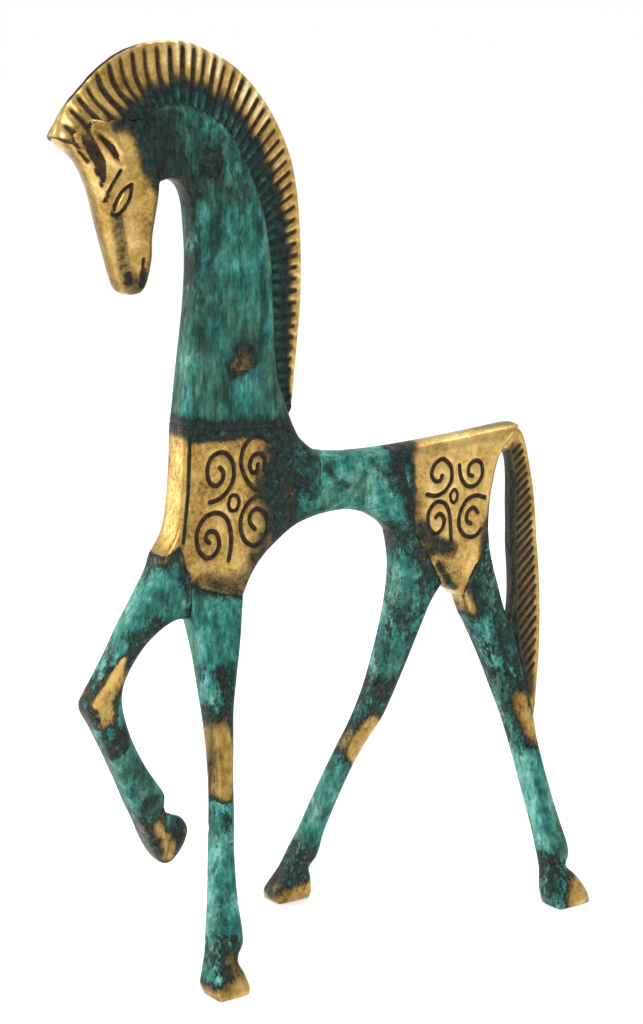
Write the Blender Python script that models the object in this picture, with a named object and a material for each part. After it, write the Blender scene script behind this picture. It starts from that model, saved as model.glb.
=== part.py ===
"""A walking horse statuette in patinated bronze, about 22 cm tall.

The statuette is a sectional casting: eleven flat castings, each filed to its outline, are joined by
tenons, dowels and cross pins and brazed along their seams, and the legs are bent outwards so that
the horse stands on three hooves. Outlines are (x, z) points of the flat castings in millimetres.
The horse faces -X and its left side faces -Y. The origin lies on the ground under its middle.
"""

import bmesh
import bpy
import numpy as np
from mathutils import Matrix, Vector
from mathutils.geometry import delaunay_2d_cdt

MM = 0.001

GAP = 0.3  # clearance between pieces that touch
BODY = 4.1  # half the thickness of the body castings
COMB = 1.4  # half the thickness of the mane
TAIL = 1.9  # half the thickness of the tail
TENON = 1.8  # half the thickness of a tenon
DOWEL = 1.5  # radius of a leg dowel
PIN = 1.4  # radius of a round cross pin
TONGUE = 3.0  # how far the mane reaches into the neck

BEND_TOP = 92.0  # height below which the legs bend outwards
STANCE = 22.4  # from the middle plane to the middle of a hoof
BEND_POWER = 1.25

MIDDLE = 0.95  # moves the outlines along +X, to bring the middle of the statuette over the origin

STEP = 3.4  # mesh spacing along an outline
GRID = 6.5  # mesh spacing inside an outline

# How each kind of edge is finished: the share of the thickness that stays flat on the edge, and the
# width of the rounding beside it. A seam stays square and stands back by half the clearance.
ROUND, CRISP, LEG, THIN, SQUARE, SEAM = "round", "crisp", "leg", "thin", "square", "seam"
EDGES = {ROUND: (0.25, 3.0), CRISP: (0.7, 1.5), LEG: (0.3, 2.3), THIN: (0.6, 0.7)}

# Seams between two castings, which both of their outlines follow.
HEAD_NECK = [(-51.5, 204.6), (-48.6, 197.0), (-44.4, 189.6)]
NECK_FORE = [(-39.4, 133.3), (-30.0, 131.2), (-7.6, 129.8)]
FORE_BARREL = [(-1.0, 122.9), (-1.0, 106.8)]
FORE_RIGHT_LEG = [(-45.4, 102.6), (-41.0, 104.4), (-38.2, 95.0)]
FORE_LEFT_LEG = [(-38.2, 95.0), (-30.0, 92.0), (-22.4, 90.2)]
BETWEEN_FORELEGS = [(-38.2, 95.0), (-37.7, 86.5)]
BARREL_HIND = [(22.5, 121.2), (25.2, 112.0), (27.2, 104.0), (26.6, 99.6)]
BARREL_RIGHT_LEG = [(22.4, 99.4), (26.6, 99.6)]
HIND_RIGHT_LEG = [(26.6, 99.6), (33.0, 91.0), (37.8, 83.6)]
HIND_LEFT_LEG = [(43.0, 80.4), (46.0, 86.0), (49.3, 91.5), (52.4, 96.5)]
HIND_TAIL = [(61.4, 122.1), (56.4, 117.0)]
TAIL_LEFT_LEG = [(57.7, 71.5), (58.8, 64.0), (60.3, 54.0), (61.3, 46.8)]

# The line where the mane stands out of the neck and the head, from its lower end to its tip.
CREST = [
    (-9.2, 133.6), (-12.2, 143.0), (-13.4, 158.3), (-13.9, 169.4), (-15.8, 180.6),
    (-19.4, 190.6), (-25.0, 200.0), (-32.8, 205.6), (-40.6, 207.3), (-48.0, 206.0),
]
POLL = [(-55.0, 205.2), (-61.0, 202.6), (-66.0, 200.8), (-69.4, 200.4)]

OUTLINES = {
    "head": [
        (SEAM, HEAD_NECK[::-1]),
        (ROUND, [*POLL, (-68.0, 198.4), (-65.4, 195.9), (-63.0, 192.2), (-61.1, 187.2), (-59.7, 181.3), (-58.0, 174.7),
                 (-56.2, 168.4), (-54.8, 165.5), (-52.2, 164.6), (-49.7, 164.6), (-48.0, 166.1),
                 (-46.8, 169.5), (-46.2, 173.0), (-46.1, 177.2), (-45.4, 181.3), (-44.6, 186.0)]),
    ],
    "neck": [
        (SEAM, HEAD_NECK),
        (ROUND, [(-41.5, 190.2), (-38.0, 188.6), (-36.2, 185.0), (-35.5, 179.0), (-35.2, 171.0),
                 (-35.8, 161.3), (-36.9, 153.0), (-38.4, 142.5)]),
        (SEAM, NECK_FORE),
        (ROUND, CREST),
    ],
    "forequarter": [
        (SEAM, NECK_FORE[::-1]),
        (CRISP, [(-39.4, 129.0), (-39.6, 124.0), (-40.2, 117.0), (-41.2, 110.0), (-42.9, 105.8)]),
        (SEAM, FORE_RIGHT_LEG),
        (SEAM, FORE_LEFT_LEG),
        (ROUND, [(-20.1, 94.6), (-16.9, 98.6), (-12.6, 102.0), (-7.2, 105.2)]),
        (SEAM, FORE_BARREL[::-1]),
        (ROUND, [(-3.2, 124.4), (-5.9, 126.9)]),
    ],
    "barrel": [
        (SEAM, FORE_BARREL),
        (ROUND, [(4.0, 107.2), (9.0, 107.0), (14.0, 105.6), (18.2, 103.2), (20.8, 101.2)]),
        (SEAM, BARREL_RIGHT_LEG),
        (SEAM, BARREL_HIND[::-1]),
        (ROUND, [(15.0, 121.2), (8.0, 121.5), (3.0, 122.1)]),
    ],
    "hindquarter": [
        (SEAM, BARREL_HIND),
        (SEAM, HIND_RIGHT_LEG),
        (ROUND, [(39.6, 84.2), (41.4, 82.8)]),
        (SEAM, HIND_LEFT_LEG),
        (ROUND, [(52.5, 100.5), (53.0, 105.5), (54.0, 110.0), (55.1, 114.0)]),
        (SEAM, HIND_TAIL[::-1]),
        (ROUND, [(59.8, 123.0), (45.0, 122.2), (31.0, 121.5)]),
    ],
    "left_foreleg": [
        (SEAM, BETWEEN_FORELEGS),
        (LEG, [(-36.8, 84.6), (-36.2, 81.0), (-35.7, 77.0), (-35.4, 70.0), (-35.2, 62.0), (-35.5, 54.0),
               (-36.4, 46.0), (-37.9, 38.0), (-39.6, 29.0), (-41.5, 20.0), (-43.4, 12.0),
               (-45.3, 5.5), (-46.2, 2.5)]),
        (SQUARE, [(-45.3, 0.0), (-37.0, 0.0)]),
        (LEG, [(-36.1, 1.6), (-36.6, 4.5), (-37.6, 7.6), (-35.5, 10.8), (-35.0, 14.0), (-34.7, 23.0),
               (-33.6, 32.0), (-32.2, 40.0), (-31.0, 48.0), (-29.6, 56.0), (-28.3, 64.0),
               (-26.2, 72.0), (-24.2, 80.0)]),
        (SEAM, FORE_LEFT_LEG[::-1]),
    ],
    "right_foreleg": [
        (LEG, [(-46.6, 99.3), (-48.7, 95.7), (-52.0, 90.7), (-55.2, 85.0), (-57.6, 80.0), (-60.1, 75.0),
               (-62.5, 70.4), (-63.3, 68.3), (-62.8, 66.0), (-60.2, 61.9), (-56.3, 55.2), (-52.1, 47.5),
               (-47.9, 39.8), (-43.6, 32.3), (-39.4, 24.9), (-36.6, 21.2), (-34.7, 20.0),
               (-32.8, 20.6), (-31.0, 23.0), (-30.0, 26.0), (-30.0, 29.3), (-31.6, 32.0),
               (-34.3, 33.3), (-37.0, 35.0), (-38.0, 37.8), (-38.4, 40.4), (-40.6, 43.6), (-44.7, 49.2),
               (-48.6, 55.5), (-51.4, 61.2), (-53.4, 66.8), (-53.8, 71.0), (-52.9, 74.6),
               (-50.9, 78.4), (-48.1, 82.0), (-44.6, 84.8), (-41.2, 86.4)]),
        (SEAM, BETWEEN_FORELEGS[::-1]),
        (SEAM, FORE_RIGHT_LEG[::-1]),
    ],
    "left_hind_leg": [
        (LEG, [(44.2, 76.0), (45.9, 72.0), (48.9, 64.0), (51.2, 56.0), (53.4, 48.0), (54.9, 40.0),
               (56.1, 32.0), (57.1, 24.0), (57.9, 18.0), (58.4, 13.0), (58.3, 8.0), (57.9, 3.0)]),
        (SQUARE, [(58.5, 0.0), (68.4, 0.0)]),
        (LEG, [(69.0, 2.6), (67.0, 6.5), (64.2, 9.6), (65.3, 11.6), (65.8, 14.0), (65.3, 18.0),
               (64.2, 23.5), (63.1, 30.0), (62.2, 36.0), (61.5, 42.0)]),
        (SEAM, TAIL_LEFT_LEG[::-1]),
        (ROUND, [(56.7, 74.0), (55.9, 77.0), (55.1, 81.0), (54.0, 86.0), (53.1, 91.0)]),
        (SEAM, HIND_LEFT_LEG[::-1]),
    ],
    "right_hind_leg": [
        (LEG, [(23.5, 96.0), (24.2, 91.0), (24.3, 85.0), (24.0, 79.0), (23.2, 72.0), (22.2, 65.0),
               (20.9, 57.5), (18.6, 49.5), (15.7, 42.5), (12.6, 34.5), (9.9, 26.5), (7.6, 19.0),
               (5.2, 12.0), (2.7, 6.0), (1.2, 2.6)]),
        (SQUARE, [(2.0, 0.0), (11.4, 0.0)]),
        (LEG, [(12.2, 2.0), (11.6, 6.0), (10.9, 8.8), (12.4, 11.2), (13.0, 14.0), (13.5, 18.0), (14.9, 23.5),
               (16.6, 29.5), (18.8, 36.0), (21.1, 41.0), (23.8, 45.5), (25.9, 49.0), (27.9, 54.5),
               (29.9, 61.0), (32.0, 68.0), (33.8, 74.0), (35.7, 79.8)]),
        (SEAM, HIND_RIGHT_LEG[::-1]),
        (SEAM, BARREL_RIGHT_LEG[::-1]),
    ],
    "tail": [
        (SEAM, HIND_TAIL),
        (THIN, [(58.4, 116.0), (59.8, 113.4), (60.3, 109.0), (60.4, 102.0), (60.6, 94.0), (60.5, 86.0),
                (60.0, 80.0), (59.0, 75.2)]),
        (SEAM, TAIL_LEFT_LEG),
        (THIN, [(62.5, 50.0), (64.2, 56.0), (66.3, 64.0), (67.8, 72.0), (68.8, 80.0), (69.1, 88.0),
                (68.7, 96.0), (67.8, 104.0), (66.6, 110.0), (65.1, 116.4), (63.6, 120.2)]),
    ],
}

# Outer edge of the mane, from its tip over the top and down to its lower end.
MANE_EDGE = [
    (-69.4, 204.6), (-67.2, 208.0), (-63.9, 211.2), (-59.4, 215.3), (-53.0, 219.1), (-44.9, 221.0),
    (-36.5, 220.9), (-30.0, 218.6), (-23.4, 215.2), (-17.0, 209.4), (-12.1, 202.8), (-8.0, 194.6),
    (-6.0, 187.0), (-5.1, 179.0), (-4.6, 169.0), (-4.8, 159.7), (-5.6, 151.3), (-6.5, 143.0),
]
MANE_TIP = (-71.0, 201.2)
MANE_END = (-7.5, 134.4)

# Half the thickness of each casting at some heights z.
HEAD_HALF = [(165.0, 2.9), (175.0, 3.4), (188.0, 4.0), (200.0, BODY)]
BODY_HALF = [(0.0, BODY), (220.0, BODY)]
LEG_HALF = [(0.0, 4.2), (5.0, 3.8), (9.0, 3.1), (14.0, 3.3), (20.0, 2.8), (50.0, 2.9), (75.0, 3.4), (95.0, BODY)]
RAISED_HALF = [(21.0, 3.0), (29.0, 3.7), (34.0, 3.0), (39.0, 3.2), (46.0, 2.8), (66.0, 3.2), (80.0, 3.3), (95.0, BODY)]


def material(name, colour, roughness, metallic):
    made = bpy.data.materials.new(name)
    made.use_nodes = True
    shader = made.node_tree.nodes["Principled BSDF"]
    shader.inputs["Base Color"].default_value = (*colour, 1.0)
    shader.inputs["Roughness"].default_value = roughness
    shader.inputs["Metallic"].default_value = metallic
    return made


def bend(z):
    """How far a leg stands out from the middle plane at height z."""
    return STANCE * np.clip((BEND_TOP - z) / BEND_TOP, 0, None) ** BEND_POWER


def evenly(line, step=STEP):
    """Points at even spacing on a polyline."""
    line = np.array(line, float)
    run = np.concatenate([[0], np.cumsum(np.linalg.norm(np.diff(line, axis=0), axis=1))])
    at = np.linspace(0, run[-1], max(2, round(run[-1] / step) + 1))
    return np.stack([np.interp(at, run, line[:, 0]), np.interp(at, run, line[:, 1])], axis=1)


def smooth(knots, step=STEP):
    """Points at even spacing on the smooth curve (a Catmull-Rom spline) through the knots."""
    knots = np.array([knots[0], *knots, knots[-1]], float)
    t = np.linspace(0, 1, 16, endpoint=False)[:, None]
    spans = [
        b + (c - a) * t / 2 + (2 * a - 5 * b + 4 * c - d) * t**2 / 2 + (3 * b - a - 3 * c + d) * t**3 / 2
        for a, b, c, d in zip(knots, knots[1:], knots[2:], knots[3:])
    ]
    return evenly(np.vstack([*spans, knots[-1:]]), step)


def beside(line, width):
    """The line moved sideways by width, to the left of its run."""
    line = np.array(line, float)
    way = np.gradient(line, axis=0)
    way /= np.linalg.norm(way, axis=1)[:, None]
    return line + width * np.stack([-way[:, 1], way[:, 0]], axis=1)


def outline_points(runs):
    """Points round an outline of runs, anticlockwise, and the kind of edge at each of them."""
    points, kinds = [], []
    for number, (kind, knots) in enumerate(runs):
        if kind in (SEAM, SQUARE):
            line = evenly(knots)
        else:
            start, end = runs[number - 1][1][-1], runs[(number + 1) % len(runs)][1][0]
            line = smooth([start, *knots, end])[1:-1]
        points.append(line)
        kinds += [kind] * len(line)
    points, kinds = np.vstack(points), np.array(kinds)
    apart = np.linalg.norm(points - np.roll(points, 1, axis=0), axis=1) > GAP
    return set_back(points[apart], kinds[apart]), kinds[apart]


def set_back(points, kinds):
    """The outline with its seams moved inwards by half the clearance."""
    way = np.roll(points, -1, axis=0) - points
    way /= np.linalg.norm(way, axis=1)[:, None]
    inward = np.stack([-way[:, 1], way[:, 0]], axis=1)
    moved = points.copy()
    count = len(points)
    for corner in range(count):
        sides = [side for side in (corner - 1, corner) if kinds[side] == kinds[(side + 1) % count] == SEAM]
        if not sides:
            continue
        shift = sum(inward[side] for side in sides)
        if len(sides) == 2:
            shift = shift / (1 + inward[sides[0]] @ inward[sides[1]])
        moved[corner] += shift * GAP / 2
    return moved


def nearest_edge(points, starts, ends):
    """Each point's distance to the nearest of some segments, and that segment's number."""
    along = ends - starts
    share = ((points[:, None] - starts) * along).sum(2) / (along**2).sum(1)
    foot = starts + np.clip(share, 0, 1)[:, :, None] * along
    away = np.linalg.norm(points[:, None] - foot, axis=2)
    return away.min(axis=1), away.argmin(axis=1)


def is_inside(points, rim):
    """Which points lie inside a closed outline."""
    x, z = points[:, :1], points[:, 1:]
    (x0, z0), (x1, z1) = rim.T, np.roll(rim, -1, axis=0).T
    with np.errstate(divide="ignore", invalid="ignore"):
        crossing = ((z0 > z) != (z1 > z)) & (x < (x1 - x0) * (z - z0) / (z1 - z0) + x0)
    return crossing.sum(axis=1) % 2 == 1


def within_rim(triangles, count):
    """The anticlockwise triangles inside the rim, whose corners are points 0 to count - 1."""
    owner = {(t[n], t[(n + 1) % 3]): t for t in triangles for n in range(3)}
    border = {(n, (n + 1) % count) for n in range(count)}
    waiting = [owner[edge] for edge in border]
    found = set()
    while waiting:
        t = waiting.pop()
        if tuple(t) in found:
            continue
        found.add(tuple(t))
        edges = [(t[n], t[(n + 1) % 3]) for n in range(3)]
        waiting += [owner[edge[::-1]] for edge in edges if edge not in border]
    return sorted(found)


def casting(name, runs, half, side, finish):
    """A flat casting with the outline of runs, rounded over at its free edges.

    half lists half its thickness at some heights. side is -1 for a left leg, 1 for a right one and
    0 for a casting that isn't bent.
    """
    rim, kinds = outline_points(runs)
    after = np.roll(rim, -1, axis=0)
    free = np.array([kind in EDGES for kind in kinds]) | np.array([kind in EDGES for kind in np.roll(kinds, -1)])
    free_kinds = [kind if kind in EDGES else np.roll(kinds, -1)[n] for n, kind in enumerate(kinds)]
    free_kinds = [kind for kind, is_free in zip(free_kinds, free) if is_free]
    flats = np.array([EDGES[kind][0] for kind in free_kinds])
    widths = np.array([EDGES[kind][1] for kind in free_kinds])
    starts, ends = rim[free], after[free]

    def half_thickness(points):
        away, edge = nearest_edge(points, starts, ends)
        rise = np.clip(away / widths[edge], 0, 1)
        full = np.interp(points[:, 1], *np.array(half).T)
        return full * (flats[edge] + (1 - flats[edge]) * np.sqrt(1 - (1 - rise) ** 2))

    # Points beside the free edges, where the rounding runs, and a grid of points further in.
    way = ends - starts
    inward = np.stack([-way[:, 1], way[:, 0]], axis=1) / np.linalg.norm(way, axis=1)[:, None]
    inner = []
    for share in (0.3, 1.0):
        ring = (starts + ends) / 2 + inward * (share * widths)[:, None]
        away, _ = nearest_edge(ring, starts, ends)
        from_rim, _ = nearest_edge(ring, rim, after)
        inner.append(ring[(away > 0.95 * share * widths) & (from_rim > 0.5)])
    low, high = rim.min(axis=0), rim.max(axis=0)
    rows = np.arange(low[1], high[1], GRID * 0.87)
    grid = np.array([
        (x + (row % 2) * GRID / 2, z)
        for row, z in enumerate(rows)
        for x in np.arange(low[0], high[0], GRID)
    ])
    away, edge = nearest_edge(grid, starts, ends)
    from_rim, _ = nearest_edge(grid, rim, after)
    inner.append(grid[is_inside(grid, rim) & (away > widths[edge] + 1.2) & (from_rim > 1.5)])
    inner = np.vstack(inner)
    inner = inner[is_inside(inner, rim)]

    count = len(rim)
    corners = [Vector(point) for point in np.vstack([rim, inner])]
    border = [(n, (n + 1) % count) for n in range(count)]
    flat, _, triangles, _, _, _ = delaunay_2d_cdt(corners, border, [], 0, 1e-5, False)
    flat = np.array([tuple(point) for point in flat])
    middle = side * bend(flat[:, 1])
    thick = half_thickness(flat)

    mesh = bmesh.new()
    left = [mesh.verts.new((x * MM, (y - t) * MM, z * MM)) for (x, z), y, t in zip(flat, middle, thick)]
    right = [mesh.verts.new((x * MM, (y + t) * MM, z * MM)) for (x, z), y, t in zip(flat, middle, thick)]
    for a, b, c in within_rim(triangles, count):
        mesh.faces.new((left[a], left[b], left[c]))
        mesh.faces.new((right[c], right[b], right[a]))
    for n in range(count):
        m = (n + 1) % count
        mesh.faces.new((left[m], left[n], right[n], right[m]))
    return to_object(name, mesh, finish)


def to_object(name, mesh, finish=None):
    """The object of a finished bmesh. An object with no finish is a cutter or a tenon's block."""
    bmesh.ops.recalc_face_normals(mesh, faces=mesh.faces)
    bmesh.ops.triangulate(mesh, faces=mesh.faces)
    data = bpy.data.meshes.new(name)
    mesh.to_mesh(data)
    mesh.free()
    made = bpy.data.objects.new(name, data)
    made.parent = bpy.data.objects["horse"]
    bpy.context.scene.collection.objects.link(made)
    if finish:
        data.materials.append(finish)
        data.shade_smooth()
        data.set_sharp_from_angle(angle=0.7)
    else:
        made.hide_render = True
        made.display_type = "WIRE"
    return made


def block(name, start, end, width, half):
    """A square bar in the middle plane from start to end, width across and 2 * half thick."""
    (x0, z0), (x1, z1) = start, end
    length = np.hypot(x1 - x0, z1 - z0)
    mesh = bmesh.new()
    bmesh.ops.create_cube(mesh, size=1, matrix=Matrix.Diagonal((length * MM, 2 * half * MM, width * MM, 1)))
    turn = Matrix.Rotation(-np.arctan2(z1 - z0, x1 - x0), 4, "Y")
    centre = Vector(((x0 + x1) / 2 * MM, 0, (z0 + z1) / 2 * MM))
    bmesh.ops.transform(mesh, matrix=Matrix.Translation(centre) @ turn, verts=mesh.verts)
    return to_object(name, mesh)


def rod(name, start, end, radius, finish=None, sides=20):
    """A round rod between two points (x, y, z)."""
    start, end = Vector(start) * MM, Vector(end) * MM
    mesh = bmesh.new()
    bmesh.ops.create_cone(
        mesh, cap_ends=True, segments=sides, radius1=radius * MM, radius2=radius * MM,
        depth=(end - start).length,
    )
    turn = (end - start).to_track_quat("Z", "Y").to_matrix().to_4x4()
    bmesh.ops.transform(mesh, matrix=Matrix.Translation((start + end) / 2) @ turn, verts=mesh.verts)
    return to_object(name, mesh, finish)


def change(piece, tool, operation):
    modifier = piece.modifiers.new(tool.name, "BOOLEAN")
    modifier.operation = operation
    modifier.object = tool


def tenon(guest, host, start, end, width):
    """A tenon of the guest casting, from start inside it to end, and its socket in the host."""
    (x0, z0), (x1, z1) = start, end
    length = np.hypot(x1 - x0, z1 - z0)
    deeper = (x1 + (x1 - x0) / length * GAP, z1 + (z1 - z0) / length * GAP)
    tongue = block(f"{guest.name}_tenon", start, end, width, TENON)
    socket = block(f"{host.name}_socket_of_{guest.name}", start, deeper, width + 2 * GAP, TENON + GAP)
    change(guest, tongue, "UNION")
    change(host, socket, "DIFFERENCE")


def cross_pin(name, at, half, pieces, finish, key=None):
    """A pin through the whole thickness at (x, z), round or, with key=(width, height), square."""
    x, z = at
    tall = half + 2.0
    if key:
        width, height = key
        made = block(name, (x - width / 2, z), (x + width / 2, z), height, half)
        hole = block(f"{name}_hole", (x - width / 2 - GAP, z), (x + width / 2 + GAP, z), height + 2 * GAP, tall)
        made.hide_render, made.display_type = False, "TEXTURED"
        made.data.materials.append(finish)
    else:
        made = rod(name, (x, -half, z), (x, half, z), PIN, finish)
        hole = rod(f"{name}_hole", (x, -tall, z), (x, tall, z), PIN + GAP)
    for piece in pieces:
        change(piece, hole, "DIFFERENCE")
    return made


def dowel(name, top, bottom, side, pieces, finish):
    """A round dowel between two castings from top to bottom, both (x, z), with its two holes."""
    start = np.array((top[0], side * bend(top[1]), top[1]))
    end = np.array((bottom[0], side * bend(bottom[1]), bottom[1]))
    way = (end - start) / np.linalg.norm(end - start)
    hole = rod(f"{name}_hole", start - way * GAP, end + way * GAP, DOWEL + GAP)
    for piece in pieces:
        change(piece, hole, "DIFFERENCE")
    return rod(name, start, end, DOWEL, finish)


def mane_comb(holders, finish):
    """The mane: a thin comb whose inner edge stands in a slot along the neck's crest and the poll."""
    line = smooth([MANE_END, *CREST, *POLL, MANE_TIP])
    root = beside(line, TONGUE)
    level = [(0.0, COMB), (220.0, COMB)]
    runs = [(THIN, MANE_EDGE[::-1]), (SQUARE, [MANE_TIP, *root[-3:1:-1], MANE_END])]
    comb = casting("mane_comb", runs, level, 0, finish)

    slot = [*beside(line, TONGUE + GAP), *beside(line, -TONGUE)[::-1]]
    mesh = bmesh.new()
    face = mesh.faces.new([mesh.verts.new((x * MM, -(COMB + GAP) * MM, z * MM)) for x, z in slot])
    sides = bmesh.ops.extrude_face_region(mesh, geom=[face])["geom"]
    moved = [part for part in sides if isinstance(part, bmesh.types.BMVert)]
    bmesh.ops.translate(mesh, verts=moved, vec=(0, 2 * (COMB + GAP) * MM, 0))
    cutter = to_object("mane_slot", mesh)
    for holder in holders:
        change(holder, cutter, "DIFFERENCE")
    return comb


def main():
    for old in list(bpy.data.objects):
        bpy.data.objects.remove(old)
    horse = bpy.data.objects.new("horse", None)
    horse.location.x = MIDDLE * MM
    bpy.context.scene.collection.objects.link(horse)

    patina = material("green_patina", (0.06, 0.30, 0.25), 0.55, 0.2)
    brass = material("polished_brass", (0.66, 0.46, 0.19), 0.32, 1.0)
    dark = material("brown_bronze", (0.16, 0.10, 0.06), 0.5, 0.6)

    head = casting("head", OUTLINES["head"], HEAD_HALF, 0, brass)
    neck = casting("neck", OUTLINES["neck"], BODY_HALF, 0, patina)
    forequarter = casting("forequarter", OUTLINES["forequarter"], BODY_HALF, 0, brass)
    barrel = casting("barrel", OUTLINES["barrel"], BODY_HALF, 0, patina)
    hindquarter = casting("hindquarter", OUTLINES["hindquarter"], BODY_HALF, 0, brass)
    left_foreleg = casting("left_foreleg", OUTLINES["left_foreleg"], LEG_HALF, -1, patina)
    right_foreleg = casting("right_foreleg", OUTLINES["right_foreleg"], RAISED_HALF, 1, patina)
    left_hind_leg = casting("left_hind_leg", OUTLINES["left_hind_leg"], LEG_HALF, -1, patina)
    right_hind_leg = casting("right_hind_leg", OUTLINES["right_hind_leg"], LEG_HALF, 1, patina)
    tail = casting("tail", OUTLINES["tail"], [(0.0, TAIL), (220.0, TAIL)], -1, brass)
    mane_comb([head, neck], brass)

    # Tenons of the head, the forequarter and the barrel, each held by a cross pin.
    tenon(head, neck, (-50.5, 197.0), (-28.6, 194.4), 6.0)
    cross_pin("head_pin", (-32.0, 194.6), BODY, [head, neck], dark, key=(3.6, 3.6))
    tenon(forequarter, neck, (-24.5, 125.0), (-23.0, 152.0), 12.0)
    cross_pin("neck_key", (-23.6, 146.6), BODY, [forequarter, neck], dark, key=(6.6, 3.4))
    tenon(barrel, forequarter, (6.0, 115.0), (-11.5, 115.0), 8.0)
    cross_pin("front_barrel_pin", (-7.0, 115.0), BODY, [barrel, forequarter], dark)
    tenon(barrel, hindquarter, (16.0, 112.0), (33.0, 112.0), 8.0)
    cross_pin("rear_barrel_pin", (29.0, 112.0), BODY, [barrel, hindquarter], dark)

    # The tail is pegged into the croup above and into the left hock below.
    tenon(tail, hindquarter, (61.5, 117.5), (52.5, 120.0), 2.6)

    dowel("left_foreleg_dowel", (-29.0, 101.0), (-30.5, 82.0), -1, [left_foreleg, forequarter], dark)
    dowel("right_foreleg_dowel", (-36.5, 106.5), (-47.0, 91.0), 1, [right_foreleg, forequarter], dark)
    dowel("left_hind_leg_dowel", (43.0, 97.0), (50.5, 79.0), -1, [left_hind_leg, hindquarter], dark)
    dowel("right_hind_leg_dowel", (36.0, 100.0), (26.5, 84.0), 1, [right_hind_leg, hindquarter], dark)


main()
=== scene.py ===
"""A walking horse statuette in patinated bronze, standing on a white table.

Outlines and engraved lines are (x, z) points of the flat castings in millimetres, measured in the
pattern maker's frame. Patina is laid on as brush strokes (wear, reach, blend, points): wear 0 is
thick verdigris, and paler below 0, 0.45 is bare dark oxide, 1 is polished bronze, and above 1 the
metal carries a painted highlight, brightest at 1.5.
"""

import bmesh
import bpy
import numpy as np
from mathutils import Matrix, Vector
from mathutils.geometry import delaunay_2d_cdt


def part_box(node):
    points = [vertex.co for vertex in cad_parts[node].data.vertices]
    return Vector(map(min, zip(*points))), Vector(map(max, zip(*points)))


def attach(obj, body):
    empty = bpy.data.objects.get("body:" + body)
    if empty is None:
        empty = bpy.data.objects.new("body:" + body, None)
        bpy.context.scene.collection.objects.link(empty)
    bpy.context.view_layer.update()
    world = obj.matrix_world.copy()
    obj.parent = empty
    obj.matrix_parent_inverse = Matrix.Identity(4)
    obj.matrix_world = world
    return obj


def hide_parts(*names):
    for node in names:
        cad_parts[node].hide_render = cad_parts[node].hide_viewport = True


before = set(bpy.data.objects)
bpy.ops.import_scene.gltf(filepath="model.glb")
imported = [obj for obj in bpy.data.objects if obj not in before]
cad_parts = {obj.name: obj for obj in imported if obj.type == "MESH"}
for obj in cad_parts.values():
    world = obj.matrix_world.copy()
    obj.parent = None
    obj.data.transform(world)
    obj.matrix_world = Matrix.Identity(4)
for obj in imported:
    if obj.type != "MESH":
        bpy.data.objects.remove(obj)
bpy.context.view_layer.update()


# The studio: a wide white table top under an overcast sky of soft white light, with one large
# diffuser in front of the horse's left shoulder, one above it, and a strip to its right that
# lights the chest.
TABLE_RADIUS = 40.0
SKY_STRENGTH = 0.85
TABLE_GLOW = 0.2  # the table top is a white light box
SOFT_LIGHTS = [  # name, place, size in metres, watts
    ("left_diffuser", (-0.75, -0.55, 0.75), (0.6, 0.6), 8.0),
    ("chest_strip", (-0.55, 0.62, 0.22), (0.22, 0.7), 2.2),
    ("top_diffuser", (0.25, 0.1, 0.9), (0.6, 0.4), 3.0),
]
CAMERA_PLACE = Vector((-0.36315, -0.5184, 0.2476))
CAMERA_AIM = Vector((0.00295, 0.0, 0.10696))
CAMERA_LENS = 93.92
WHITE = (1.0, 1.0, 1.0, 1.0)
LACQUER = (0.93, 0.93, 0.93, 1.0)


def feed(tree, sockets, values):
    """Gives sockets, by name or number, a constant or the output of another node."""
    for name, value in values.items():
        if isinstance(value, bpy.types.NodeSocket):
            tree.links.new(value, sockets[name])
        else:
            sockets[name].default_value = value


def link(thing):
    bpy.context.scene.collection.objects.link(thing)
    return thing


def finished(mesh, name):
    data = bpy.data.meshes.new(name)
    mesh.to_mesh(data)
    mesh.free()
    return data


mesh = bmesh.new()
bmesh.ops.create_circle(mesh, cap_ends=True, segments=96, radius=TABLE_RADIUS)
table_data = finished(mesh, "table_top")
table = link(bpy.data.objects.new("table_top", table_data))
paint = bpy.data.materials.new("white_lacquer")
paint.use_nodes = True
feed(paint.node_tree, paint.node_tree.nodes["Principled BSDF"].inputs, {
    "Base Color": LACQUER, "Roughness": 0.6, "Emission Color": WHITE, "Emission Strength": TABLE_GLOW,
})
table_data.materials.append(paint)

sky = bpy.data.worlds.new("overcast_sky")
sky.use_nodes = True
background = sky.node_tree.nodes["Background"]
feed(sky.node_tree, background.inputs, {"Color": WHITE, "Strength": SKY_STRENGTH})
bpy.context.scene.world = sky
for name, place, (width, height), watts in SOFT_LIGHTS:
    lamp = bpy.data.lights.new(name, "AREA")
    lamp.shape, lamp.size, lamp.size_y, lamp.energy = "RECTANGLE", width, height, watts
    stand = link(bpy.data.objects.new(name, lamp))
    stand.location = place
    stand.rotation_euler = (CAMERA_AIM - Vector(place)).to_track_quat("-Z", "Y").to_euler()

camera_data = bpy.data.cameras.new("camera")
camera_data.lens = CAMERA_LENS
camera_data.clip_end = 100.0
camera = link(bpy.data.objects.new("camera", camera_data))
camera.location = CAMERA_PLACE
camera.rotation_euler = (CAMERA_AIM - CAMERA_PLACE).to_track_quat("-Z", "Y").to_euler()
bpy.context.scene.camera = camera
bpy.context.scene.view_settings.view_transform = "Standard"


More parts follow.
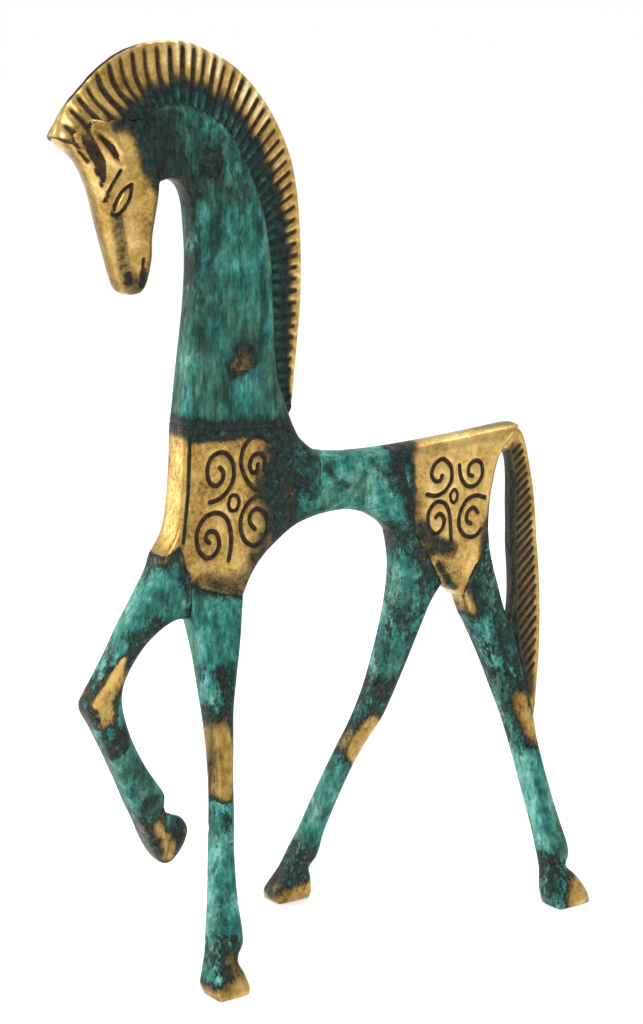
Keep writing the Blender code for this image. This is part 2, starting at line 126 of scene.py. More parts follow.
# The neck: the middle casting of the horse, which the head, the mane and the forequarter join. It
# is a flat slab of bronze under thick streaky verdigris, with the ends of two square pins in it.
MM = 0.001
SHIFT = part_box("mane_comb")[0].x / MM + 71.0  # the mane's tip is at x = -71 in the pattern frame
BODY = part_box("neck")[1].y / MM  # half the thickness of the body castings
FULL = [(0, BODY), (220, BODY)]  # a casting of the full thickness at all heights
SEAM_GAP = 0.03  # each casting stands back this far from a brazed seam
CROWN = 0.12  # how far a filed edge swells in its middle
FEATHER = 1.5  # a stroke fades out over this many times its blend
CUT_DARK = 0.3  # a cut this deep, in mm, holds as much dark oxide as a cut can

# The mesh of a casting, in mm: its rim, the rings of points inside a filed edge and the walls as
# shares of the edge's width and thickness, and the fine points in a band along the engraved lines.
RIM_STEP = 0.6
RING_SHARES = (0.06, 0.16, 0.32, 0.54, 0.78, 1.05)
RING_SHARE_CLEAR, RIM_CLEAR = 0.93, 0.04
WALL_SHARES = (-0.6, -0.2, 0.2, 0.6)
CUT_SPACING = 0.3
FINE_BAND, COARSE_FROM = 0.95, 1.15
BATCH = 1500  # how many points are measured at a time

# How each kind of edge is filed: the share of the thickness left flat, and the rounding's width.
# The edges of a leg that face forward are crisp, and so is the head where it looks up to the mane.
FACES_FORWARD, LOOKS_UP = 0.1, -0.6
FILED = {
    "round": (0.25, 3), "throat": (0.45, 2.2), "crisp": (0.76, 0.9), "leg_front": (0.66, 1.1),
    "leg_rear": (0.3, 2.4), "poll": (0.55, 1.1), "lap": (0.5, 1.4), "thin": (0.6, 0.7),
    "sole": (0.84, 0.6),
}

HEAD_NECK = [(-51.5, 204.6), (-48.6, 197), (-44.4, 189.6)]
NECK_FORE = [(-39.4, 133.3), (-30, 131.2), (-7.6, 129.8)]
CREST = [
    (-9.2, 133.6), (-12.2, 143), (-13.4, 158.3), (-13.9, 169.4), (-15.8, 180.6), (-19.4, 190.6),
    (-25, 200), (-32.8, 205.6), (-40.6, 207.3), (-48, 206),
]
NECK_OUTLINE = [
    ("seam", HEAD_NECK),
    ("throat", [(-41.5, 190.2), (-38, 188.6), (-36.2, 185), (-35.5, 179), (-35.2, 171),
                (-35.8, 161.3), (-36.9, 153), (-38.4, 142.5)]),
    ("seam", NECK_FORE),
    ("round", CREST),
]
NECK_BRUSHED = (0.04, [
    (0.25, 6, 8, [(-44, 205), (-33, 200), (-24, 192)]),
    (0.42, 2.2, 3.6, [(-47, 200), (-45, 195), (-42, 191)]),
    (0.24, 0.2, 1.4, [(-36.6, 187), (-35.6, 178), (-35.4, 167)]),
    (0.44, 3.4, 4.6, [(-48.5, 199), (-45.5, 194)]),
    (0.44, 1, 3, [(-40.5, 190.6), (-37, 187)]),
    (0.34, 0.4, 1.6, [(-9.5, 135), (-12, 143), (-13, 152)]),
    (0.24, 0.6, 3, [(-33, 178), (-32, 168), (-33.6, 158)]),
    # a pale line just inside the crest, where the neck meets the mane: a painted highlight on that
    # ridge
    (-0.12, 0.3, 1.6, [(-14.6, 158), (-15.2, 169), (-17.2, 180)]),
    (-0.08, 1, 3, [(-35, 150), (-36.6, 139)]),
    (0.47, 1.2, 2.6, [(-31.6, 194), (-31.8, 192.4)]),
    (0.54, 0.8, 2.6, [(-25.6, 145.4), (-21.2, 147.6), (-22.8, 149.2)]),
    (0.45, 1.3, 2.6, [(-41, 132.8), (-30, 130.8), (-7, 129.6)]),
])


def run_of(line):
    """How far along a polyline each of its points is."""
    return np.concatenate([[0], np.cumsum(np.linalg.norm(np.diff(line, axis=0), axis=1))])


def placed(at, run, line):
    """The points of a polyline at some distances along it."""
    return np.stack([np.interp(at, run, line[:, 0]), np.interp(at, run, line[:, 1])], axis=1)


def evenly(line, step):
    """Points at even spacing on a polyline."""
    line = np.array(line, float)
    run = run_of(line)
    return placed(np.linspace(0, run[-1], max(2, round(run[-1] / step) + 1)), run, line)


def smooth(knots, step):
    """Points at even spacing on the smooth curve (a Catmull-Rom spline) through the knots."""
    knots = np.array([knots[0], *knots, knots[-1]], float)
    t = np.linspace(0, 1, 24, endpoint=False)[:, None]
    spans = [
        b + (c - a) * t / 2 + (2 * a - 5 * b + 4 * c - d) * t**2 / 2
        + (3 * b - a - 3 * c + d) * t**3 / 2
        for a, b, c, d in zip(knots, knots[1:], knots[2:], knots[3:])
    ]
    return evenly(np.vstack([*spans, knots[-1:]]), step)


def eased(value, low, high):
    """0 below low, 1 above high and a smooth rise between."""
    share = np.clip((value - low) / (high - low), 0, 1)
    return share * share * (3 - 2 * share)


def inward_of(starts, ends):
    """Unit vectors to the left of each edge: into the metal, as outlines run anticlockwise."""
    way = ends - starts
    return np.stack([-way[:, 1], way[:, 0]], axis=1) / np.linalg.norm(way, axis=1)[:, None]


def outline_points(runs, step):
    """Points round an outline and the kind of edge at each, with its seams moved inwards."""
    points, kinds = [], []
    for number, (kind, knots) in enumerate(runs):
        if kind in ("seam", "lap", "sole"):
            line = evenly(knots, step)
        else:
            start, end = runs[number - 1][1][-1], runs[(number + 1) % len(runs)][1][0]
            line = smooth([start, *knots, end], step)[1:-1]
        points.append(line)
        kinds += [kind] * len(line)
    points, kinds = np.vstack(points), np.array(kinds)
    apart = np.linalg.norm(points - np.roll(points, 1, axis=0), axis=1) > 0.1 * step
    points, kinds = points[apart], kinds[apart]
    inward = inward_of(points, np.roll(points, -1, axis=0))
    closed = np.isin(kinds, ("seam", "lap")) & (kinds == np.roll(kinds, -1))
    moved = points.copy()
    for corner in range(len(points)):
        sides = [side for side in (corner - 1, corner) if closed[side]]
        if sides:
            shift = sum(inward[side] for side in sides)
            if len(sides) == 2:
                shift = shift / (1 + inward[sides[0]] @ inward[sides[1]])
            moved[corner] += shift * SEAM_GAP
    return moved, kinds


def nearest_edge(points, starts, ends):
    """Each point's distance to the nearest of some segments, and that segment's number."""
    away, number = np.empty(len(points)), np.empty(len(points), int)
    along = ends - starts
    length = np.maximum((along**2).sum(1), 1e-12)
    for first in range(0, len(points), BATCH):
        batch = slice(first, first + BATCH)
        part = points[batch]
        share = ((part[:, None] - starts) * along).sum(2) / length
        foot = starts + np.clip(share, 0, 1)[:, :, None] * along
        gap = np.linalg.norm(part[:, None] - foot, axis=2)
        away[batch], number[batch] = gap.min(axis=1), gap.argmin(axis=1)
    return away, number


def is_inside(points, rim):
    """Which points lie inside a closed outline."""
    x, z = points[:, :1], points[:, 1:]
    (x0, z0), (x1, z1) = rim.T, np.roll(rim, -1, axis=0).T
    with np.errstate(divide="ignore", invalid="ignore"):
        crossing = ((z0 > z) != (z1 > z)) & (x < (x1 - x0) * (z - z0) / (z1 - z0) + x0)
    return crossing.sum(axis=1) % 2 == 1


def within_rim(triangles, count):
    """The anticlockwise triangles inside the rim, whose corners are points 0 to count - 1."""
    owner = {(t[n], t[(n + 1) % 3]): t for t in triangles for n in range(3)}
    border = {(n, (n + 1) % count) for n in range(count)}
    waiting = [owner[edge] for edge in border]
    found = set()
    while waiting:
        t = waiting.pop()
        if tuple(t) in found:
            continue
        found.add(tuple(t))
        edges = [(t[n], t[(n + 1) % 3]) for n in range(3)]
        waiting += [owner[edge[::-1]] for edge in edges if edge not in border]
    return sorted(found)


def away_from(points, knots):
    """Distance to a line of knots, to a single knot, or to an area (negative inside it)."""
    line = np.array(knots if len(knots) > 1 else [*knots, *knots], float)
    away, _ = nearest_edge(points, line[:-1], line[1:])
    if len(knots) > 3 and tuple(knots[0]) == tuple(knots[-1]):
        away = np.where(is_inside(points, line[:-1]), -away, away)
    return away


def brushed_on(points, base, strokes):
    """The wear at some points, with a painted highlight where it goes above 1: a base, with soft
    strokes laid over it in turn.
    """
    value = np.full(len(points), float(base))
    for level, reach, blend, knots in strokes:
        outside = eased(away_from(points, knots), reach, reach + FEATHER * blend)
        value += (level - value) * (1 - outside)
    return value


def cut_line(knots):
    """The middle of an engraved line: straight between two knots, and smooth through more."""
    return smooth(knots, CUT_SPACING) if len(knots) > 2 else knots


def graved(points, cuts):
    """Depth of the engraved lines (knots, half width, depth) at some points. Below 0 is raised."""
    depth = np.zeros(len(points))
    for knots, half_width, deep in cuts:
        away = away_from(points, cut_line(knots))
        groove = deep * np.clip(1 - (away / half_width) ** 2, 0, 1) ** 1.5
        depth = np.where(np.abs(groove) > np.abs(depth), groove, depth)
    return depth


def from_lines(points, lines):
    """Each point's distance to the nearest of several lines."""
    starts = np.vstack([line[:-1] for line in lines])
    ends = np.vstack([line[1:] for line in lines])
    return nearest_edge(points, starts, ends)[0]


def hexagons(low, high, spacing):
    """Points on a triangular grid between two corners."""
    rows = np.arange(low[1], high[1], spacing * 0.87)
    return np.array([
        (x + (row % 2) * spacing / 2, z)
        for row, z in enumerate(rows) for x in np.arange(low[0], high[0], spacing)
    ])


def beaten(points):
    """The slight waves, in mm, that hand filing leaves on a flat face."""
    x, z = points.T
    return (
        0.055 * np.sin(0.47 * x + 0.21 * z) * np.sin(0.36 * z - 0.13 * x)
        + 0.035 * np.sin(1.1 * x - 0.5 * z + 1.0) * np.sin(0.83 * z + 0.4 * x)
    )


def write_attributes(data, **values):
    for name, numbers in values.items():
        data.attributes.new(name, "FLOAT", "POINT").data.foreach_set("value", numbers)


castings = []  # every flat casting, for the filing of its edges further on
rims = {}  # the free edges of the horse and of the tail: starts, ends, flat shares, widths


def casting(name, runs, half, spacing, brushed, side=0, cuts=(), carve=None, group="horse"):
    """A casting as a flat sheet of fine mesh. half lists half its thickness at some heights.

    Vertices hold x and z in metres, and as y only their share of the half thickness, from -1 on
    the left face to 1 on the right one: the filing section turns that into millimetres.
    """
    rim, kinds = outline_points(runs, RIM_STEP)
    after = np.roll(rim, -1, axis=0)
    edge_kinds = np.where(kinds == "seam", np.roll(kinds, -1), kinds)
    free = edge_kinds != "seam"
    starts, ends = rim[free], after[free]
    inward = inward_of(starts, ends)
    filed = []
    for kind, (to_right, to_top) in zip(edge_kinds[free], inward):
        if kind == "leg":
            kind = "leg_front" if to_right > FACES_FORWARD else "leg_rear"
        if kind == "head":
            kind = "poll" if to_top < LOOKS_UP else "round"
        filed.append(FILED[kind])
    flats, widths = np.array(filed).T
    rims.setdefault(group, []).append((starts, ends, flats, widths))

    inner = []
    for share in RING_SHARES:
        ring = (starts + ends) / 2 + inward * (share * widths)[:, None]
        away, _ = nearest_edge(ring, starts, ends)
        from_rim, _ = nearest_edge(ring, rim, after)
        inner.append(ring[(away > RING_SHARE_CLEAR * share * widths) & (from_rim > RIM_CLEAR)])
    grid = hexagons(rim.min(axis=0), rim.max(axis=0), spacing)
    if cuts:
        fine = hexagons(rim.min(axis=0), rim.max(axis=0), CUT_SPACING)
        lines = [evenly(cut_line(knots), CUT_SPACING) for knots, _, _ in cuts]
        coarse = grid[from_lines(grid, lines) > COARSE_FROM]
        grid = np.vstack([coarse, fine[from_lines(fine, lines) < FINE_BAND]])
    away, edge = nearest_edge(grid, starts, ends)  # the grid stays clear of the rings and the rim
    from_rim, _ = nearest_edge(grid, rim, after)
    inner.append(grid[(away > 1.1 * widths[edge] + 0.25 * spacing) & (from_rim > 0.3 * spacing)])
    inner = np.vstack(inner)
    inner = inner[is_inside(inner, rim)]

    count = len(rim)
    corners = [Vector(point) for point in np.vstack([rim, inner])]
    border = [(n, (n + 1) % count) for n in range(count)]
    flat, _, triangles, _, _, _ = delaunay_2d_cdt(corners, border, [], 0, 1e-5, False)
    flat = np.array([tuple(point) for point in flat])
    inside = np.array(within_rim(triangles, count))
    total = len(flat)

    outward = -inward_of(np.roll(rim, 1, axis=0), after)
    walls = [rim + outward * CROWN * (1 - share**2) for share in WALL_SHARES]
    walls = [np.maximum(wall, (-np.inf, 0.0)) for wall in walls]  # the soles stay on the table
    ground = np.vstack([flat, flat, *walls])
    shares = np.repeat([-1.0, 1.0, *WALL_SHARES], [total, total, *[count] * len(WALL_SHARES)])
    place = np.stack([(ground[:, 0] + SHIFT) * MM, shares * MM, ground[:, 1] * MM], axis=1)
    first_of_walls = [2 * total + n * count for n in range(len(WALL_SHARES))]
    levels = [first + np.arange(count) for first in (0, *first_of_walls, total)]
    faces = [*inside.tolist(), *(inside[:, ::-1] + total).tolist()]
    for lower, upper in zip(levels, levels[1:]):
        faces += np.stack([np.roll(lower, -1), lower, upper, np.roll(upper, -1)], axis=1).tolist()
    data = bpy.data.meshes.new(name)
    data.from_pydata(place.tolist(), [], faces)
    data.shade_smooth()
    piece = link(bpy.data.objects.new(name, data))

    depth = graved(flat, cuts) + (carve(flat) if carve else 0)
    depth = np.concatenate([depth, depth, np.zeros(len(WALL_SHARES) * count)])
    write_attributes(data, wear=brushed_on(ground, *brushed), recess=np.clip(depth / CUT_DARK, 0, 1))
    castings.append((piece, side, half, ground, shares, depth, group))
    return piece


def socket_group(name, inputs, outputs):
    """An empty shader node group with these sockets: its tree, its inputs and its outputs."""
    tree = bpy.data.node_groups.new(name, "ShaderNodeTree")
    for direction, sockets in (("INPUT", inputs), ("OUTPUT", outputs)):
        for socket, kind in sockets.items():
            tree.interface.new_socket(socket, in_out=direction, socket_type=f"NodeSocket{kind}")
    return tree, tree.nodes.new("NodeGroupInput").outputs, tree.nodes.new("NodeGroupOutput").inputs


def add(tree, kind, inputs=None, **settings):
    """A node of this kind, with its settings and its inputs."""
    made = tree.nodes.new(kind)
    for name, value in settings.items():
        setattr(made, name, value)
    feed(tree, made.inputs, inputs or {})
    return made


def noise(tree, vector, scale, detail=4.0, roughness=0.6):
    values = {"Vector": vector, "Scale": scale, "Detail": detail, "Roughness": roughness}
    return add(tree, "ShaderNodeTexNoise", values).outputs[0]


def compute(tree, operation, *values):
    return add(tree, "ShaderNodeMath", dict(enumerate(values)), operation=operation).outputs[0]


def sum_of(tree, *parts):
    """The sum of some values, where a pair stands for a value times its weight."""
    parts = [compute(tree, "MULTIPLY", *part) if isinstance(part, tuple) else part for part in parts]
    result = parts[0]
    for part in parts[1:]:
        result = compute(tree, "ADD", result, part)
    return result


def rise(tree, value, low, high, start=0.0, end=1.0):
    """A smooth step of a value, from start at low to end at high."""
    values = {"Value": value, "From Min": low, "From Max": high, "To Min": start, "To Max": end}
    return add(tree, "ShaderNodeMapRange", values, interpolation_type="SMOOTHSTEP").outputs[0]


def tones(tree, value, stops):
    """A colour that changes with a value, through stops of (value, colour)."""
    made = add(tree, "ShaderNodeValToRGB", {"Fac": value})
    while len(made.color_ramp.elements) < len(stops):
        made.color_ramp.elements.new(0.5)
    for element, (at, colour) in zip(made.color_ramp.elements, stops):
        element.position, element.color = at, (*colour, 1.0)
    return made.outputs[0]


def mixed(tree, share, first, second):
    return add(tree, "ShaderNodeMix", {0: share, 6: first, 7: second}, data_type="RGBA").outputs[2]


def blended(tree, share, first, second):
    return add(tree, "ShaderNodeMix", {0: share, 2: first, 3: second}, data_type="FLOAT").outputs[0]


# Verdigris, the blue-green copper salts: cloudy, with pale bloom and dark specks where it is thin.
SPECK = (0.004, 0.010, 0.011, 1.0)
MOSS_TONES = [
    (0.40, (0.008, 0.026, 0.017)), (0.47, (0.020, 0.062, 0.041)), (0.53, (0.040, 0.112, 0.077)),
    (0.60, (0.085, 0.195, 0.140)), (0.70, (0.24, 0.43, 0.34)),
]
TEAL_TONES = [
    (0.40, (0.005, 0.026, 0.022)), (0.46, (0.010, 0.066, 0.054)), (0.52, (0.018, 0.124, 0.101)),
    (0.585, (0.048, 0.215, 0.178)), (0.70, (0.20, 0.45, 0.38)),
]
verdigris, given, gives = socket_group(
    "verdigris", {"Position": "Vector", "Bloom": "Float"},
    {"Color": "Color", "Roughness": "Float", "Height": "Float"},
)
place = given["Position"]
clouds = noise(verdigris, place, 0.22, 5.0, 0.62)
grain = noise(verdigris, place, 0.85, 6.0, 0.66)
specks = noise(verdigris, place, 0.50, 6.0, 0.72)
hues = noise(verdigris, place, 0.10, 4.0, 0.65)
upright = add(verdigris, "ShaderNodeMapping", {"Vector": place, "Scale": (1.0, 1.0, 0.14)})
brushing = noise(verdigris, upright.outputs[0], 1.3, 3.0, 0.6)
tone = sum_of(verdigris, (clouds, 0.56), (grain, 0.26), (brushing, 0.18), given["Bloom"])
mossy = rise(verdigris, hues, 0.47, 0.60, 0.0, 0.75)
salts = mixed(verdigris, mossy, tones(verdigris, tone, TEAL_TONES), tones(verdigris, tone, MOSS_TONES))
bare = rise(verdigris, specks, 0.54, 0.66)
feed(verdigris, gives, {
    "Color": mixed(verdigris, compute(verdigris, "MULTIPLY", bare, 0.6), salts, SPECK),
    "Roughness": rise(verdigris, grain, 0.3, 0.7, 0.36, 0.60),
    "Height": sum_of(verdigris, grain, (bare, -0.4)),
})

# Rubbed bronze: golden where it has been polished, olive and brown where old wax stays in its pores.
# Its last, cream tone is mostly reached through the painted highlight carried on the polish input.
WAX = (0.13, 0.08, 0.03, 1.0)
GOLD_TONES = [
    (0.34, (0.10, 0.052, 0.014)), (0.43, (0.28, 0.17, 0.045)), (0.52, (0.46, 0.295, 0.085)),
    (0.64, (0.66, 0.455, 0.165)), (0.80, (0.98, 0.84, 0.50)),
]
rubbed, given, gives = socket_group(
    "rubbed_bronze", {"Position": "Vector", "Polish and highlight": "Float"},
    {"Color": "Color", "Roughness": "Float", "Height": "Float"},
)
place = given["Position"]
clouds = noise(rubbed, place, 0.11, 4.0, 0.6)
grain = noise(rubbed, place, 0.9, 6.0, 0.7)
pores = noise(rubbed, place, 2.6, 4.0, 0.7)
tone = sum_of(rubbed, (clouds, 0.55), (grain, 0.45), given["Polish and highlight"])
waxed = rise(rubbed, pores, 0.60, 0.74)
gold = tones(rubbed, tone, GOLD_TONES)
feed(rubbed, gives, {
    "Color": mixed(rubbed, compute(rubbed, "MULTIPLY", waxed, 0.55), gold, WAX),
    "Roughness": rise(rubbed, tone, 0.36, 0.62, 0.46, 0.27),
    "Height": sum_of(rubbed, grain, (waxed, -0.5)),
})

# Where the verdigris ends and where the metal shows: both follow the brushed wear with a ragged,
# speckled edge, and a recess keeps its dark oxide.
worn, given, gives = socket_group(
    "worn_through", {"Position": "Vector", "Wear and highlight": "Float", "Recess": "Float", "Ragged": "Float"},
    {"Verdigris": "Float", "Metal": "Float"},
)
edges = noise(worn, given["Position"], 0.42, 6.0, 0.68)
flecks = noise(worn, given["Position"], 1.5, 5.0, 0.7)
swing = compute(worn, "MULTIPLY", sum_of(worn, edges, (flecks, 0.7), -0.85), given["Ragged"])
rubbing = sum_of(worn, given["Wear and highlight"], swing)
held = rise(worn, sum_of(worn, given["Recess"], (swing, 0.3)), 0.08, 0.72)
green_left = rise(worn, rubbing, 0.12, 0.42, 1.0, 0.0)
green_held = compute(worn, "SUBTRACT", 1.0, compute(worn, "MULTIPLY", held, 0.9))
rubbed_bare = rise(worn, rubbing, 0.48, 0.90)
feed(worn, gives, {
    "Verdigris": compute(worn, "MULTIPLY", green_left, green_held),
    "Metal": compute(worn, "MULTIPLY", rubbed_bare, compute(worn, "SUBTRACT", 1.0, held)),
})

# Soot and oxide: green-black beside the verdigris, and brown-black in the cuts of the bright metal.
GREEN_BLACK = [(0.40, (0.003, 0.006, 0.006)), (0.64, (0.012, 0.030, 0.025))]
BROWN_BLACK = [(0.40, (0.010, 0.006, 0.004)), (0.64, (0.045, 0.026, 0.011))]
DULL_BRONZE = (0.17, 0.115, 0.042, 1.0)


def bronze(name, stretch=1.0, bloom=0.0, polish=0.0, ragged=0.6):
    """Patinated bronze. stretch draws its clouds out along the height of the piece."""
    made = bpy.data.materials.new(name)
    made.use_nodes = True
    tree = made.node_tree
    in_mm = (1000, 1000, 1000 / stretch)
    place = add(tree, "ShaderNodeTexCoord").outputs["Object"]
    place = add(tree, "ShaderNodeMapping", {"Vector": place, "Scale": in_mm}).outputs[0]
    wear, recess, edge = (
        add(tree, "ShaderNodeAttribute", attribute_name=layer).outputs["Fac"]
        for layer in ("wear", "recess", "edge")
    )
    # The edge attribute lightens the rims: partly rubbed edges, partly a painted highlight along them.
    masks = add(tree, "ShaderNodeGroup", {
        "Position": place, "Wear and highlight": sum_of(tree, wear, (edge, 0.10)), "Recess": recess, "Ragged": ragged,
    }, node_tree=worn).outputs
    pale = sum_of(tree, rise(tree, wear, -0.3, 0.0, bloom + 0.09, bloom), (edge, 0.05))
    salts = {"Position": place, "Bloom": pale}
    salts = add(tree, "ShaderNodeGroup", salts, node_tree=verdigris).outputs
    # Wear above 1 and the edge attribute lift the metal's tone past its polish: a painted highlight.
    polish_and_highlight = sum_of(tree, rise(tree, wear, 1.0, 1.5, polish, polish + 0.30), (edge, 0.05))
    metal = {"Position": place, "Polish and highlight": polish_and_highlight}
    metal = add(tree, "ShaderNodeGroup", metal, node_tree=rubbed).outputs

    soot = noise(tree, place, 0.7, 5.0, 0.7)
    grime = mixed(tree, rise(tree, wear, 0.42, 0.80), tones(tree, soot, GREEN_BLACK),
                  tones(tree, soot, BROWN_BLACK))
    patina = mixed(tree, masks["Verdigris"], grime, salts["Color"])
    gold = mixed(tree, rise(tree, wear, 0.55, 0.97), DULL_BRONZE, metal["Color"])
    rough = blended(tree, masks["Verdigris"], 0.42, salts["Roughness"])
    height = blended(tree, masks["Metal"], salts["Height"], metal["Height"])
    height = sum_of(tree, height, (masks["Verdigris"], 0.35))
    bump = add(tree, "ShaderNodeBump", {"Strength": 0.45, "Distance": 0.00012, "Height": height})
    feed(tree, tree.nodes["Principled BSDF"].inputs, {
        "Base Color": mixed(tree, masks["Metal"], patina, gold),
        "Metallic": masks["Metal"],
        "Roughness": blended(tree, masks["Metal"], rough, metal["Roughness"]),
        "Normal": bump.outputs[0],
        "Specular IOR Level": 0.13,
    })
    return made


def dress(piece, finish, slot, *nodes):
    """Gives a piece its material, and puts it in the place of its CAD nodes."""
    piece.data.materials.append(finish)
    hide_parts(*nodes)
    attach(piece, "root")


neck = casting("neck_casting", NECK_OUTLINE, FULL, 0.9, NECK_BRUSHED)
dress(neck, bronze("streaked_verdigris", stretch=2.3, bloom=-0.012, ragged=0.8), "green_bronze", "neck")


# The barrel: a short flat casting, arched below, between the fore and hind quarters. It has the
# brightest verdigris, and goes dark beside its brazed seams.
FORE_BARREL = [(-1, 122.9), (-1, 106.8)]
BARREL_HIND = [(22.5, 121.2), (25.2, 112), (27.2, 104), (26.6, 99.6)]
BARREL_RIGHT_LEG = [(22.4, 99.4), (26.6, 99.6)]
BARREL_OUTLINE = [
    ("seam", FORE_BARREL),
    ("round", [(4, 107.2), (9, 107), (14, 105.6), (18.2, 103.2), (20.8, 101.2)]),
    ("seam", BARREL_RIGHT_LEG),
    ("seam", BARREL_HIND[::-1]),
    ("round", [(15, 121.2), (8, 121.5), (3, 122.1)]),
]
BARREL_BRUSHED = (0.05, [
    (0.18, 0.4, 2.4, [(-1.5, 122), (-1, 107)]),
    (0.36, 0.1, 1.2, [(0.5, 119), (3.5, 115.5), (6.5, 113.5)]),
    (0.34, 0.1, 1.2, [(14.5, 118.5), (18.5, 115), (21.5, 110)]),
    (0.38, 0.5, 2.2, [(20.8, 117), (23.8, 110.5)]),
    (0.46, 0.8, 2.6, [(22.5, 122), (26, 112), (27.5, 103), (26, 98)]),
    (0.36, 0.8, 2.6, [(20.6, 100.6), (25, 101.2)]),
])
barrel = casting("barrel_casting", BARREL_OUTLINE, FULL, 0.9, BARREL_BRUSHED)
dress(barrel, bronze("bright_verdigris", stretch=0.9, bloom=0.045), "green_bronze", "barrel")


# The forequarter: a polished panel with four engraved spirals round a ring, a flat bright chest in
# front of it behind one straight cut, and dark oxide where the polish stops.
FORE_RIGHT_LEG = [(-45.4, 102.6), (-41, 104.4), (-38.2, 95)]
FORE_LEFT_LEG = [(-38.2, 95), (-30, 92), (-22.4, 90.2)]
FORE_OUTLINE = [
    ("seam", NECK_FORE[::-1]),
    ("crisp", [(-39.4, 129), (-39.6, 124), (-40.2, 117), (-41.2, 110), (-42.9, 105.8)]),
    ("seam", FORE_RIGHT_LEG),
    ("seam", FORE_LEFT_LEG),
    ("round", [(-20.1, 94.6), (-16.9, 98.6), (-12.6, 102), (-7.2, 105.2)]),
    ("seam", FORE_BARREL[::-1]),
    ("round", [(-3.2, 124.4), (-5.9, 126.9)]),
]
FORE_BRUSHED = (0.16, [
    (0.30, 1, 4, [(-10, 124), (-10.5, 106)]),
    (0.46, 1.8, 2.6, [(-7.4, 116), (-9, 111.5)]),
    (1, -1.8, 2.4, [(-50, 130), (-36, 129.4), (-28, 129), (-20, 129.6), (-15, 127.6), (-13.6, 121),
                    (-14.6, 114), (-13.6, 107), (-14.5, 96), (-20, 90), (-30, 92.6), (-38.4, 96),
                    (-41.6, 105.4), (-50, 104), (-50, 130)]),
    (0.45, 0.3, 0.3, [(-38.3, 130), (-38.9, 117), (-40.3, 106)]),
    (1, 0, 1, [(-44, 132.6), (-40.2, 132.4), (-39.9, 131), (-41.6, 106), (-45, 103.6), (-50, 104),
               (-50, 132), (-44, 132.6)]),
    (0.72, 2, 4.6, [(-13.5, 129), (-14.6, 122), (-16.4, 117), (-14.8, 111), (-14.6, 104)]),
    (0.43, 1.2, 3.4, [(-11.5, 127.5), (-12.6, 121), (-15.2, 117.2), (-13, 112), (-11.5, 108.5),
                      (-13.2, 104)]),
    (0.30, 1.2, 2.4, [(-6, 124), (-5.4, 119)]),
    (0.22, 1, 2.4, [(-5, 111), (-4, 106.5)]),
    (0.63, 0.9, 3.6, [(-17.5, 101), (-20.5, 95.5), (-25, 92), (-34, 94.5)]),
    (0.56, 0, 2.2, [(-20, 100), (-17, 99.5)]),
    (0.45, 0.7, 1.3, [(-38, 132), (-33, 130.6), (-22, 130.4), (-12, 128.6)]),
    (0.45, 0.6, 1, [(-38.6, 131.6), (-35, 130.4)]),
])
FORE_SPIRALS = [
    [(-32.8, 114.4), (-30.4, 114.8), (-28.1, 116.2), (-26.2, 119), (-26.2, 122.8), (-27.9, 125.4),
     (-30.4, 125.9), (-32.6, 124.6), (-33.4, 121.9), (-32.8, 119.2), (-31, 118.1), (-29.3, 119.2),
     (-29, 121.2), (-30, 122.4)],
    [(-16, 127.2), (-18.6, 128.7), (-21.3, 128.3), (-23.3, 126), (-23.9, 122.6), (-22.9, 119.4),
     (-20.8, 116.6), (-18.6, 115.4)],
    [(-17.4, 120.4), (-17.2, 123), (-18.6, 124.5), (-20.6, 124), (-21.5, 122), (-20.8, 120.2),
     (-19.4, 120.4), (-19.2, 121.9)],
    [(-27.7, 99.8), (-27, 103), (-27.1, 107), (-28.5, 110.4), (-31.4, 111.7), (-34.5, 110.7),
     (-36.4, 107.6), (-36.2, 103.8), (-34.2, 101.3), (-31.8, 101.5), (-30.3, 103.8), (-31, 106.7),
     (-33, 107.4), (-34.1, 105.9), (-33, 104.7)],
    [(-15.8, 112.8), (-18, 114.2), (-20.8, 113.8), (-23.4, 111.2), (-24.3, 107.8), (-23.2, 104.2),
     (-20.6, 102.4), (-18, 103.4), (-16.6, 106.4), (-17.2, 109.7), (-19.4, 111.2), (-21.3, 110.2),
     (-21.6, 108.2), (-20.2, 106.4)],
]
FORE_RING = [(-27.6, 113.4), (-26.8, 115.2), (-25.2, 115), (-24.6, 113.3), (-25.4, 111.7),
             (-27, 111.8), (-27.6, 113.4)]
LINE = 0.78  # half the width of an engraved line
FORE_CUTS = [
    *((spiral, LINE, 0.5) for spiral in FORE_SPIRALS),
    (FORE_RING, 0.66, 0.5),
    ([(-38.1, 131.6), (-38.2, 124), (-38.8, 116), (-39.7, 109), (-40.2, 105.5)], 0.5, 0.34),
]
forequarter = casting("forequarter_casting", FORE_OUTLINE, FULL, 0.8, FORE_BRUSHED, cuts=FORE_CUTS)
shoulder_bronze = bronze("polished_shoulder", polish=-0.03, ragged=0.95)
dress(forequarter, shoulder_bronze, "polished_bronze", "forequarter")


